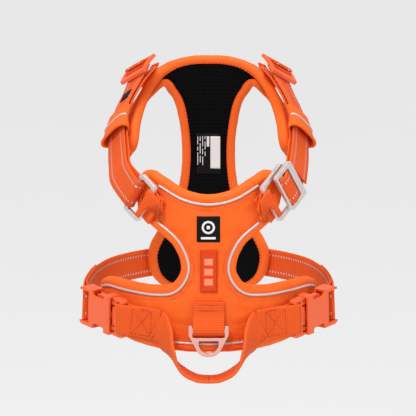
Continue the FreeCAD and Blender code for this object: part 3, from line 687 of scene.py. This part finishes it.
def inset(loop, distance):
    """A loop moved inwards, without the folds that tight corners would make."""
    moved = [p + way * distance for p, way in zip(loop, inward_ways(loop))]
    return [p for p in moved if nearest(p, loop) > distance * 0.95]


def nearest(point, loop):
    """Distance from a chart point to a closed loop, by its points."""
    return min((point - corner).length_squared for corner in loop) ** 0.5


def inside(point, loop):
    hit = False
    for a, b in zip(loop, loop[1:] + loop[:1]):
        if (a.y > point.y) != (b.y > point.y):
            hit ^= point.x < a.x + (point.y - a.y) / (b.y - a.y) * (b.x - a.x)
    return hit


def rounding(share):
    """A quarter round: 0 at an edge, 1 where share reaches 1."""
    return math.sqrt(max(0.0, 1 - (1 - min(1.0, share)) ** 2))


def panel(name, loop, side, low, high, material, pitch, crown, seams=()):
    """A padded panel inside a chart loop, with a rounded edge; also gives each point's depth."""
    rows = []
    low_s, high_s = min(p.x for p in loop), max(p.x for p in loop)
    low_z, high_z = min(p.y for p in loop), max(p.y for p in loop)
    z, odd = low_z, False
    while z < high_z:
        s = low_s + (pitch / 2 if odd else 0)
        while s < high_s:
            point = V((s, z))
            if nearest(point, loop) > pitch * 0.7 and inside(point, loop):
                rows.append(point)
            s += pitch
        z += pitch * 0.866
        odd = not odd
    border = len(loop)
    verts = list(loop) + rows
    flat, edges, faces = delaunay_2d_cdt(verts, [], [list(range(border))], 1, 1e-5)[:3]
    depth = [0.0 if k < border else nearest(p, loop) for k, p in enumerate(flat)]
    points, uvs = [], []
    middle = (low + high) / 2
    for offset, way in ((high, 1), (low, -1)):
        for p, d in zip(flat, depth):
            lift = middle + (offset - middle) * (0.25 + 0.75 * rounding(d / 6.0))
            lift += way * crown * (1 - math.exp(-d / 14.0))
            for seam, width, sink in seams:
                lift -= way * sink * math.exp(-(seam(p) / width) ** 2)
            points.append(on_chart(p, lift, side))
            uvs.append((p.x, p.y))
    count = len(flat)
    front = [tuple(f) for f in faces]
    back = [tuple(count + i for i in reversed(f)) for f in faces]
    wall = band_faces(count, 0, border)
    if winding(loop) < 0:
        wall = [tuple(reversed(f)) for f in wall]
    return build(name, points, front + back + wall, uvs, material), depth + depth


def puff(obj, depth, pressure, cap, held):
    """Cloth simulation: the padding swells between its sewn edges. Its result is kept on the mesh."""
    mesh = obj.data
    rest = [v.co.copy() for v in mesh.vertices]
    sewn = obj.vertex_groups.new(name="sewn")
    for k, d in enumerate(depth):
        weight = 1.0 if d < held else max(0.0, 1 - (d - held) / 6.0) * 0.6
        if weight > 0:
            sewn.add([k], weight, "REPLACE")
    cloth = obj.modifiers.new("padding", "CLOTH")
    wanted = {"quality": 4, "mass": 0.25, "tension_stiffness": 18, "compression_stiffness": 18,
              "shear_stiffness": 6, "bending_stiffness": 0.6, "use_pressure": True,
              "uniform_pressure_force": pressure, "shrink_min": -0.012, "vertex_group_mass": "sewn"}
    for key, value in wanted.items():
        setattr(cloth.settings, key, value)
    cloth.settings.effector_weights.gravity = 0
    cloth.collision_settings.use_collision = False
    last = 20
    cloth.point_cache.frame_start, cloth.point_cache.frame_end = 1, last
    scene = bpy.context.scene
    for step in range(1, last + 1):
        scene.frame_set(step)
    after = obj.evaluated_get(bpy.context.evaluated_depsgraph_get()).to_mesh()
    moved = [v.co.copy() for v in after.vertices]
    obj.modifiers.remove(cloth)
    for vertex, start, end in zip(mesh.vertices, rest, moved):
        way = end - start
        if way.length > cap * MM:
            way = way.normalized() * cap * MM
        vertex.co = start + way
    obj.vertex_groups.remove(sewn)
    scene.frame_set(1)
    mesh.update()


def soften(obj):
    """One level of subdivision, kept on the mesh."""
    smooth = obj.modifiers.new("soft", "SUBSURF")
    smooth.levels = smooth.render_levels = 1
    graph = bpy.context.evaluated_depsgraph_get()
    fresh = bpy.data.meshes.new_from_object(obj.evaluated_get(graph))
    obj.modifiers.remove(smooth)
    fresh.name = obj.data.name
    obj.data = fresh


def side_seam(p):
    """Distance from the upright seams beside the panel's middle."""
    return abs(p.x) - 46.5 if 22 > p.y > -24 else 40.0


back_loop = whole_loop(BACK_HALF, 260)
back_face, back_depth = panel("back_face", inset(back_loop, 4.0), BACK, -4.8, -0.1, FACE, 3.0, 0.5,
                              seams=((side_seam, 1.2, 0.5),))
puff(back_face, back_depth, 2.5, 0.5, 4.5)
soften(back_face)
place(back_face, "face_cloth", "back_panel")
back_mesh = panel("back_mesh", inset(back_loop, 4.0), BACK, -7.2, -5.0, MESH, 4.0, 0.0)[0]
place(back_mesh, "spacer_mesh", "back_lining")


def chart_roll(name, loop, side):
    ways = inward_ways(loop)
    points = [on_chart(p, 0, side) for p in loop]
    inwards = [(on_chart(p + way, 0, side) - at).normalized() for p, way, at in zip(loop, ways, points)]
    return roll(name, points, [chart_normal(p, side) for p in loop], inwards)


place(chart_roll("back_edge_roll", back_loop, BACK), "binding_cloth", "back_binding")

# ---- piping and edge stitching on the back
STITCH_PITCH = 3.1


def chart_runs(loop, keep):
    """The stretches of a closed chart loop for which keep(point) holds."""
    size = len(loop)
    starts = [k for k in range(size) if keep(loop[k]) and not keep(loop[k - 1])]
    runs = []
    for start in starts:
        run = []
        while keep(loop[(start + len(run)) % size]) and len(run) < size:
            run.append(loop[(start + len(run)) % size])
        if len(run) > 3:
            runs.append(run)
    return runs


def piping_shows(p):
    return abs(across_of(p)) <= 40 or p.y <= 68


def stitching_shows(p):
    x = abs(across_of(p))
    return not (x > 40 and p.y > 72 or x > 68 and p.y < 14)


for number, run in enumerate(chart_runs(inset(back_loop, 7.4), piping_shows)):
    path = [on_chart(p, 0.75, BACK) for p in run]
    cord = tube("back_piping_%d" % number, spline(path, int(length_of(path) / 1.5)), 1.05, PIPING)
    place(cord, "reflective_piping", *(() if number else ("back_piping",)))
for name, from_edge, lift in (("back_edge_stitches", 7.1, 0.35), ("back_topstitching", 11.6, 0.55)):
    runs = [([on_chart(p, lift, BACK) for p in run], [chart_normal(p, BACK) for p in run])
            for run in chart_runs(inset(back_loop, from_edge), stitching_shows)]
    place(stitches(name, runs, THREAD, STITCH_PITCH), "binding_cloth")

# ---- chest panel
RIM = [
    (0, 81, 183), (-24, 77.5, 181.5), (-44, 66, 174), (-56, 35, 158), (-62, 2, 140.5), (-64, -24, 120),
]
ARM_EDGE = [
    (0, 83, 155), (-26, 79.5, 156), (-48, 71.5, 155.5), (-66, 53, 141), (-77, 26, 121), (-76, -6, 101),
]
ARM_SAMPLES, ARM_STEP = 121, 2.9    # stations along the arch and both arms, and the way between them


def symmetric(half, count):
    left = [V(p) for p in half]
    return spline(left[::-1] + [mirrored(p) for p in left[1:]], count)


rim_line, edge_line = symmetric(RIM, ARM_SAMPLES), symmetric(ARM_EDGE, ARM_SAMPLES)


def arm_normal(k):
    a, b = max(k - 1, 0), min(k + 1, ARM_SAMPLES - 1)
    ahead = (rim_line[b] + edge_line[b]) - (rim_line[a] + edge_line[a])
    normal = ahead.cross(edge_line[k] - rim_line[k]).normalized()
    return normal if normal.dot(V((rim_line[k].x, rim_line[k].y, 0))) > 0 else -normal


arm_normals = [arm_normal(k) for k in range(ARM_SAMPLES)]


def arms(name, low, high, margin, material, crown):
    """The arch and both arms as one padded strip with rounded ends."""
    lanes = 14
    first, last = 3, ARM_SAMPLES - 4
    points, uvs = [], []
    for layer, way in ((high, 1), (low, -1)):
        for k in range(first, last + 1):
            rim, edge = rim_line[k], edge_line[k]
            width = (edge - rim).length
            from_end = min(k - first, last - k) * ARM_STEP
            trim = margin + 10.0 * (1 - rounding(from_end / 12.0))
            for n in range(lanes + 1):
                share = (trim + (width - 2 * trim) * n / lanes) / width
                from_side = min(share, 1 - share) * width - margin
                round_off = rounding(min(from_side, from_end) / 5.0)
                middle = (low + high) / 2
                lift = middle + (layer - middle) * (0.3 + 0.7 * round_off) + way * crown * round_off
                points.append(rim + (edge - rim) * share + arm_normals[k] * lift)
                uvs.append((share * width, k * ARM_STEP))
    return build(name, points, shell_faces(last - first + 1, lanes + 1), uvs, material)


chest_arms = arms("chest_face_arms", -4.8, -0.1, 4.0, FACE, 0.8)
soften(chest_arms)
place(chest_arms, "face_cloth", "chest_panel")
arm_lining = arms("chest_mesh_arms", -7.0, -5.0, 3.4, MESH, 0.0)
place(arm_lining, "spacer_mesh", "chest_lining")

column_loop = whole_loop(COLUMN_HALF, 220)
trunk, trunk_depth = panel("chest_face_trunk", inset(column_loop, 4.0), CHEST, -4.8, -0.1, FACE, 3.2, 0.5)
puff(trunk, trunk_depth, 2.5, 0.6, 4.5)
soften(trunk)
place(trunk, "face_cloth")
trunk_lining = panel("chest_mesh_trunk", inset(column_loop, 3.4), CHEST, -7.0, -5.0, MESH, 4.0, 0.0)[0]
place(trunk_lining, "spacer_mesh")


def chest_roll():
    """One rolled edge round the rim, the arms' ends, the armholes, the column and the paddle."""
    quarter = []
    step = 6
    for k in range(ARM_SAMPLES // 2, 4, -step):     # the rim from the middle to the left arm's end
        quarter.append((rim_line[k], arm_normals[k]))
    end = 3
    rim, edge, normal = rim_line[end], edge_line[end], arm_normals[end]
    for share in (0.18, 0.5, 0.82):
        quarter.append((rim.lerp(edge, share), normal))
    for k in range(8, 50, step):                    # the lower edge back towards the column
        if edge_line[k].x > -50:
            break
        quarter.append((edge_line[k], arm_normals[k]))
    for x, z in COLUMN_HALF[3:]:
        quarter.append((skin(x, z, 0, CHEST), outward(x, z, CHEST)))
    other = [(mirrored(p), mirrored(n)) for p, n in reversed(quarter[1:-1])]
    ring = quarter + other
    points, normals = paired([p for p, n in ring], [n for p, n in ring], 420, closed=True)
    around = zip(normals, points[1:] + points[:1], points[-1:] + points[:-1])
    inwards = [normal.cross(after - before).normalized() for normal, after, before in around]
    middle = V((0, 84, 165))
    if inwards[0].dot(middle - points[0]) < 0:
        inwards = [-way for way in inwards]
    return points, normals, inwards


NARROW = 0.82    # the chest's rolled edge is narrower than the back's
SEAM = 7.1 * NARROW    # from the outer edge to the seam
roll_points, roll_normals, roll_inwards = chest_roll()
chest_roll_mesh = roll("chest_edge_roll", roll_points, roll_normals, roll_inwards, NARROW, 1.07)
place(chest_roll_mesh, "binding_cloth", "chest_binding")
around = list(zip(roll_points, roll_normals, roll_inwards))
around.append(around[0])
seams = [([p + w * SEAM + n * lift for p, n, w in around], [n * way for p, n, w in around])
         for lift, way in ((0.35, 1), (-8.0, -1))]
place(stitches("chest_edge_stitches", seams, THREAD, STITCH_PITCH), "binding_cloth")

# ---- side straps, belly straps and buckles
def boxed_cross(centres, ways, first, last, half=10.2, lift=1.0):
    """Stitch runs of a box with a cross, sewn in a strap between two distances along it."""
    path, turned = paired(centres, ways, int(length_of(centres)) + 1)
    corners = [(first, half), (last, half), (last, -half), (first, -half)]
    runs = []
    for a, b in ((0, 1), (1, 2), (2, 3), (3, 0), (0, 2), (1, 3)):
        trail, normals = [], []
        for n in range(9):
            at, across = (corners[a][m] + (corners[b][m] - corners[a][m]) * n / 8 for m in (0, 1))
            k = min(int(at), len(path) - 2)
            aside = (path[k + 1] - path[k]).cross(turned[k]).normalized()
            trail.append(path[k].lerp(path[k + 1], at - k) + aside * across + turned[k] * lift)
            normals.append(turned[k])
        runs.append((trail, normals))
    return runs


def sewn_loop(sewn, high, low, leave, turn):
    """Webbing sewn on the back at sewn (x, z), turned round a bar and led back under itself."""
    under = sewn[:0:-1]
    out, back, way = leave
    centres = [skin(x, z, high) for x, z in sewn] + [out] + turn[0]
    centres += [back] + [skin(x, z, low) for x, z in under]
    faces = [outward(x, z) for x, z in sewn] + [way] + turn[1] + [-way] + [-outward(x, z) for x, z in under]
    return centres, faces


for side, sign in MIRRORS:
    where = buckle_frame(sign)
    bar = where.at(2.6, 0, 0)
    sewn = [(sign * x, -7.0) for x in (38.0, 43.6, 48.5, 53.5)]
    turn = round_bar(bar, where.x, where.z, 4.15, 80, -80)
    leave = where.at(-5.5, 0, -1.6), where.at(-5.5, 0, -4.3), where.way(-0.35, 0, 1)
    centres, faces = sewn_loop(sewn, 3.7, 2.0, leave, turn)
    place(strap("side_webbing_" + side, centres, faces, WEB_CROSS), "webbing", "side_strap_" + side)
    cross = boxed_cross(centres[:5], faces[:5], 8.0, 25.0)
    place(stitches("side_box_stitches_" + side, cross, THREAD_DARK, 2.4), "webbing")

    end_bar = where.at(51.0, 0, 0)
    base = [V((sign * x, y, z)) for x, y, z in
            ((40, 86.5, 0), (52, 80.5, 0), (70, 66.5, 0), (84.5, 48.5, 0), (93.6, 27.5, -0.5),
             (97.4, 10, -1), (99.4, -6, -1.6), (100.6, -18, -2.2))]
    ways = [V((c.x / 92 ** 2, c.y / 94 ** 2, 0)).normalized() for c in base[:5]]
    ways += [V((sign, 0.15, 0)).normalized(), V((sign, 0, 0)), V((sign, -0.4, 0)).normalized()]
    back_way = where.way(-1, 0, 0)
    around, turned = round_bar(end_bar, back_way, where.z, 3.4, -80, 80)
    outer_layer = [(c + w * 1.9, w) for c, w in zip(base[:3:-1], ways[:3:-1])]
    centres = base + around + [c for c, w in outer_layer]
    faces = ways + [-w for w in turned] + [-w for c, w in outer_layer]
    belly = strap("belly_webbing_" + side, centres, faces, WEB_DASHED)
    bending(belly, "socket_" + side, V((sign * 96, 16, -1)), V((sign * 100, -14, -2)),
            "belly_strap_" + side, "belly_strap_end_" + side)

# ---- shoulders and neck straps
for side, sign in MIRRORS:
    where = shoulder_frame(sign)
    sewn = [(p.x, p.z) for p in (where.at(-away, 0, 0) for away in (13.5, 10.0, 7.0))]
    leave = where.at(-3.6, 0, 1.6), where.at(-3.6, 0, -2.0), where.z
    centres, faces = sewn_loop(sewn, 3.4, 1.5, leave, round_bar(where.origin, where.x, where.z, 3.4))
    place(strap("shoulder_webbing_" + side, centres, faces, WEB_LONG), "webbing", "shoulder_loop_" + side)

    path = [neck_point(k, sign) for k in range(len(NECK_PATH))]
    centres, faces = map(list, zip(*path))
    top_from = 5
    if sign < 0:
        bar = where.at(RING_LENGTH[sign], 0, 0)
        around, ways = round_bar(bar, -where.x, where.z, 4.4, -85, 85)
        back = [(c + n * (2.7 + 0.15 * k), n) for k, (c, n) in enumerate(path[SLIDER_STATION:])]
        back = back[:top_from - SLIDER_STATION - 1:-1]
        centres += around + [c for c, n in back]
        faces += [-w for w in ways] + [-n for c, n in back]
    else:
        length = RING_LENGTH[sign]
        lower = (length + 3, 2.4), (length - 4, 2.7), (HOOK_BAR + 2.6, 2.3)
        centres += [where.at(x, 0, z) for x, z in lower]
        faces += [where.way(0.3, 0, 1), where.z, where.z]
        around, ways = round_bar(where.at(HOOK_BAR, 0, HOOK_LIFT), -where.x, where.z, 3.4, -75, 80)
        centres += around + [where.at(HOOK_BAR + x, 0, z) for x, z in ((4.5, 7.9), (8.5, 6.2), (10.6, 4.9))]
        faces += [-w for w in ways] + [-where.z, -where.way(0.35, 0, 1), -where.way(0.5, 0, 1)]
    place(strap("neck_webbing_" + side, centres, faces, WEB_DASHED, width=24.6),
          "webbing", "neck_strap_" + side)

    slide = slider_frame(sign)
    bar = slide.at(0, 0, SLIDER_RISE)
    last = len(NECK_PATH) - 1 if sign > 0 else top_from + 1
    outer = [(c + n * (2.75 + 0.15 * k), n) for k, (c, n) in enumerate(path[SLIDER_STATION + 1:last + 1])]
    outer.reverse()
    around, ways = round_bar(bar, slide.x, slide.z, 3.4, -60, 120)
    centres = [c for c, n in outer] + [slide.at(-6.0, 0, 4.2)] + around
    faces = [n for c, n in outer] + [slide.z] + [-w for w in ways]
    top = strap("neck_top_webbing_" + side, centres, faces, WEB_DASHED, width=24.2)
    bending(top, "slider_body_" + side, neck_point(5, sign)[0], neck_point(3, sign)[0],
            "neck_strap_top_" + side)


# ---- keepers
def sleeve(name, sign):
    """A cloth sleeve: narrow at its top, open and flared at its lower end."""
    rows = 26
    centres, normals = paired(*zip(*(neck_between(at, sign) for at in (4.4, 5.05, 5.8))), rows)
    sides = 36
    rows_out, rows_in, uvs_out = [], [], []
    for k, (centre, normal) in enumerate(zip(centres, normals)):
        share = k / (rows - 1)
        ahead = centres[min(k + 1, rows - 1)] - centres[max(k - 1, 0)]
        across, lift = square_to(ahead.normalized(), normal)
        half, rise = 15.2 + 1.6 * share ** 2, 3.9 + 2.6 * share ** 1.6
        soft = 0.25 * math.sin(share * 9.0)
        out_ring, in_ring = [], []
        for n in range(sides):
            angle = 2 * math.pi * n / sides
            c, s = math.cos(angle), math.sin(angle)
            px = math.copysign(abs(c) ** 0.62, c)
            py = math.copysign(abs(s) ** 0.85, s)
            base = centre + normal * (3.0 + (rise - 3.9) * 0.5)
            out_ring.append(base + across * (half + soft * abs(px)) * px + lift * (rise + soft) * py)
            in_ring.append(base + across * (half - 1.3) * px + lift * max(0.6, rise - 1.3) * py)
        rows_out.append(out_ring)
        rows_in.append(in_ring)
        uvs_out.append([(n * 1.9, k * 1.8) for n in range(sides)])
    points = [p for row in rows_out for p in row] + [p for row in rows_in for p in row]
    flat = [uv for row in uvs_out for uv in row] * 2
    inner, last = sides * rows, sides * (rows - 1)
    faces = band_faces(inner, 0, sides) + band_faces(last, inner + last, sides)
    for a in range(0, last, sides):
        faces += band_faces(a, a + sides, sides) + band_faces(inner + a + sides, inner + a, sides)
    return build(name, points, faces, flat, FACE), rows_out, normals


for side, sign in MIRRORS:
    keeper, rings, normals = sleeve("keeper_sleeve_" + side, sign)
    soften(keeper)
    place(keeper, "binding_cloth", "keeper_" + side)
    arc = [p + normals[12] * 0.1 for p in rings[12][:19]]
    place(tube("keeper_piping_" + side, spline(arc, 60), 0.9, PIPING), "reflective_piping")
    place(tube("keeper_hem_" + side, spline(rings[24][:19], 60), 0.95, ROLL), "binding_cloth")

# ---- leash rings' webbing
for label, z, top, side in (("leash_ring_back", -8.5, 14.0, BACK), ("leash_ring_chest", 112.0, 134.0, CHEST)):
    seat = skin(0, z, 5.2, side)
    out, down = V((0, side, 0)), V((0, 0, -1))
    around, ways = round_bar(seat, down, out, 3.4, 90, -90)
    outer = [skin(0, top, 3.3, side), skin(0, top - 5, 3.3, side), skin(0, (top + z) / 2 + 1, 3.5, side),
             seat + V((0, side * 2.6, 4.2))]
    inner = [seat + V((0, -side * 2.2, 4.2)), skin(0, (top + z) / 2, 1.6, side), skin(0, top, 1.5, side)]
    faces = [out] * 4 + ways + [-out] * 3
    webbing = strap(label + "_strap", outer + around + inner, faces, WEB_CROSS, width=24.6)
    place(webbing, "webbing", label + "_webbing")
    rows = [[(x, height) for x in (-10.6, -5, 0, 5, 10.6)] for height in (top - 2.2, top - 7.0)]
    runs = [([skin(x, z, 4.35, side) for x, z in row], [outward(x, z, side) for x, z in row]) for row in rows]
    place(stitches(label + "_stitches", runs, THREAD_DARK, 1.7), "webbing")

# ---- handle
HANDLE_HALF = [
    (0, -103.5, -47.5, 87), (-9, -103.5, -46.6, 86), (-19, -103.5, -41.5, 82), (-26.5, -103.5, -33, 70),
    (-31, -102.5, -23.5, 50), (-35, -97.5, -14, 25), (-38.5, -91.8, -8.8, 6), (-41.5, -88.6, -7.2, 0),
]
for side, sign in MIRRORS:
    centres, faces = [], []
    stations = [(flipped(x, y, z, sign), turn) for x, y, z, turn in HANDLE_HALF]
    for k, (centre, turn) in enumerate(stations):
        before = stations[k - 1][0] if k else mirrored(stations[1][0])
        after = stations[min(k + 1, len(stations) - 1)][0]
        ahead = (after - before).normalized() if k < len(stations) - 1 else V((sign, 0, 0))
        out = outward(centre.x * 0.98, max(centre.z, -28))
        out = (out - ahead * out.dot(ahead)).normalized()
        flat = ahead.cross(out).normalized()
        flat = flat if flat.z > 0 else -flat
        angle = math.radians(turn)
        across = flat * math.cos(angle) + out * math.sin(angle)
        face = ahead.cross(across).normalized()
        if face.dot(out) < 0 and turn < 85 or turn >= 85 and face.z > 0:
            face = -face
        centres.append(centre)
        faces.append(face)
    half = strap("handle_webbing_" + side, centres, faces, WEB_CROSS, gauge=2.6)
    nodes = ("handle_webbing",) if sign < 0 else ()
    bending(half, "handle", V((sign * 40.5, -89, -7)), V((sign * 31, -100, -22)), *nodes)


# ---- labels, patch and light tab
def plate(name, low, high, offset, side, material, thickness=0.7, ridge=0.0):
    """A thin sewn-on plate over the form between two corners (x, z), with soft edges."""
    cols, rows = 14, 20
    points, uvs = [], []
    for layer in (1, 0):
        for r in range(rows + 1):
            for c in range(cols + 1):
                x = low[0] + (high[0] - low[0]) * c / cols
                z = low[1] + (high[1] - low[1]) * r / rows
                from_edge = min(x - low[0], high[0] - x, z - low[1], high[1] - z)
                lift = thickness * (0.35 + 0.65 * min(1.0, from_edge / 0.8)) + ridge * math.sin(z * 2.6)
                points.append(skin(x, z, offset + lift * layer, side))
                uvs.append((x, z))
    return build(name, points, shell_faces(rows + 1, cols + 1), uvs, material)


def border_stitches(name, low, high, offset, material, pitch):
    """Stitches along the four sides between two corners on the back."""
    corners = [V(low), V((high[0], low[1])), V(high), V((low[0], high[1]))]
    runs = []
    for a, b in zip(corners, corners[1:] + corners[:1]):
        trail = [a.lerp(b, n / 6) for n in range(7)]
        runs.append(([skin(*p, offset) for p in trail], [outward(*p) for p in trail]))
    return stitches(name, runs, material, pitch, thick=0.22)


def ring_mark(name, x, z, radius, width, offset, material):
    points, uvs, faces = [], [], []
    sides = 40
    for n in range(sides):
        angle = 2 * math.pi * n / sides
        for far, lift in ((radius - width, 0.0), (radius - width, 0.3), (radius, 0.3), (radius, 0.0)):
            points.append(skin(x + far * math.cos(angle), z + far * math.sin(angle), offset + lift))
            uvs.append((far * math.cos(angle), far * math.sin(angle)))
        faces += band_faces(n * 4, (n + 1) % sides * 4, 4)
    return build(name, points, faces, uvs, material)


patch = plate("woven_patch_face", (-9.3, 60.8), (9.0, 81.2), 0.7, BACK, LABEL_BLACK, 1.0)
place(patch, "label_cloth", "woven_patch")
place(border_stitches("patch_stitches", (-8.5, 61.6), (8.2, 80.4), 1.7, LABEL_BLACK, 1.8), "label_cloth")
place(ring_mark("patch_ring_mark", -0.2, 72.6, 5.2, 1.7, 1.65, LABEL_WHITE), "label_cloth")
for name, low, high in (("bar", (-6.0, 63.2), (5.6, 65.0)), ("dot", (-1.5, 71.3), (1.1, 73.9))):
    place(plate("patch_%s_mark" % name, low, high, 1.65, BACK, LABEL_WHITE, 0.3), "label_cloth")

tab = plate("light_tab_face", (-6.7, 20.8), (6.9, 54.6), 0.7, BACK, WEB_TAB, 1.9, ridge=0.10)
place(tab, "webbing", "light_tab")
for number, foot in enumerate((42.6, 34.6, 26.6)):
    bar = plate("light_tab_bar_%d" % number, (-3.4, foot), (3.4, foot + 5.4), 2.55, BACK, TAB_BARS, 0.35)
    place(bar, "reflective_piping")
place(border_stitches("light_tab_stitches", (-5.9, 22.0), (6.1, 53.4), 2.7, THREAD_DARK, 1.6), "webbing")

label = plate("care_label_face", (-10.6, 79), (10.6, 115), -7.4, CHEST, LABEL_BLACK, -0.6)
place(label, "label_cloth", "care_label")
WHITE_MARKS = [((1.6, 84.0), (10.0, 112.6)), ((-1.6, 103.5), (0.6, 112.6))]
for column in range(4):
    x = -9.6 + 2.1 * column
    top = 112.6
    for length in ((7, 3.4, 11), (4.2, 9, 6), (9, 5, 7.5), (2.6, 7, 4))[column]:
        WHITE_MARKS.append(((x, top - length), (x + 0.6, top)))
        top -= length + 2.0
for number, (low, high) in enumerate(WHITE_MARKS):
    place(plate("care_label_mark_%d" % number, low, high, -8.05, CHEST, LABEL_WHITE, -0.15), "label_cloth")

(a, na), (b, nb) = neck_point(3, -1), neck_point(4, -1)
TAG_LIFT = 4.2
centres = [a.lerp(b, share) + way * TAG_LIFT for share, way in ((0.28, na), (0.5, (na + nb) / 2), (0.7, nb))]
tag = strap("side_tag_face", centres, [na, (na + nb).normalized(), nb], LABEL_BLACK, width=12.0, gauge=0.8)
place(tag, "label_cloth", "side_tag")

# ---- hardware keeps its CAD shape
for node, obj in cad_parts.items():
    if node.startswith(("buckle_", "slider_")):
        finish = PLASTIC
    elif node.startswith("leash_ring"):
        finish = ROSE
    elif node.startswith(("shoulder_ring", "neck_hook")):
        finish = SILVER
    else:
        continue
    for slot in obj.material_slots:
        slot.material = finish

# ---- room, light and camera
room = Nodes("pale_floor")
grain = room.noise(room.object_place(), 3.0, 2.0)
room.finish(Base_Color=room.mix(grain, (0.30, 0.30, 0.30), (0.32, 0.32, 0.32)), Roughness=0.9,
            Emission_Color=(1.0, 1.0, 1.0), Emission_Strength=0.60)
floor_mesh = bpy.data.meshes.new("floor")
FLOOR_Z, REACH = -0.55, 14.0    # metres
corners = [(x * REACH, y * REACH, FLOOR_Z) for x, y in ((-1, -1), (1, -1), (1, 1), (-1, 1))]
floor_mesh.from_pydata(corners, [], [(0, 1, 2, 3)])
floor_mesh.materials.append(room.material)
link(bpy.data.objects.new("floor", floor_mesh))

bpy.context.scene.view_settings.view_transform = "Standard"
world = bpy.data.worlds.new("studio")
bpy.context.scene.world = world
world.use_nodes = True
sky = world.node_tree.nodes["Background"].inputs
sky["Color"].default_value = (0.93, 0.93, 0.93, 1)
sky["Strength"].default_value = 0.60


def aim(name, data, location, target):
    """Links a light or camera that looks at the target."""
    obj = link(bpy.data.objects.new(name, data))
    obj.location = location
    obj.rotation_euler = (target - location).to_track_quat("-Z", "Y").to_euler()
    return obj


def soft_light(name, location, target, size, power):
    lamp = bpy.data.lights.new(name, "AREA")
    lamp.shape, lamp.size, lamp.energy = "DISK", size, power
    aim(name, lamp, V(location), V(target))


soft_light("key", (-0.55, -1.2, 1.7), (0, 0, 0.06), 0.6, 24)
soft_light("fill", (1.3, -1.1, 0.5), (0, 0, 0.06), 1.1, 5)
soft_light("top", (0.1, 0.3, 1.7), (0, 0, 0.06), 1.0, 9)

ELEVATION, DISTANCE = math.radians(13.0), 1.695
AIM = V((0, 0, 0.0674))
camera_data = bpy.data.cameras.new("camera")
camera_data.sensor_width = 36.0
camera_data.lens = 177.49
camera_data.shift_x = -0.0014
stand = AIM + V((0, -math.cos(ELEVATION), math.sin(ELEVATION))) * DISTANCE
bpy.context.scene.camera = aim("camera", camera_data, stand, AIM)
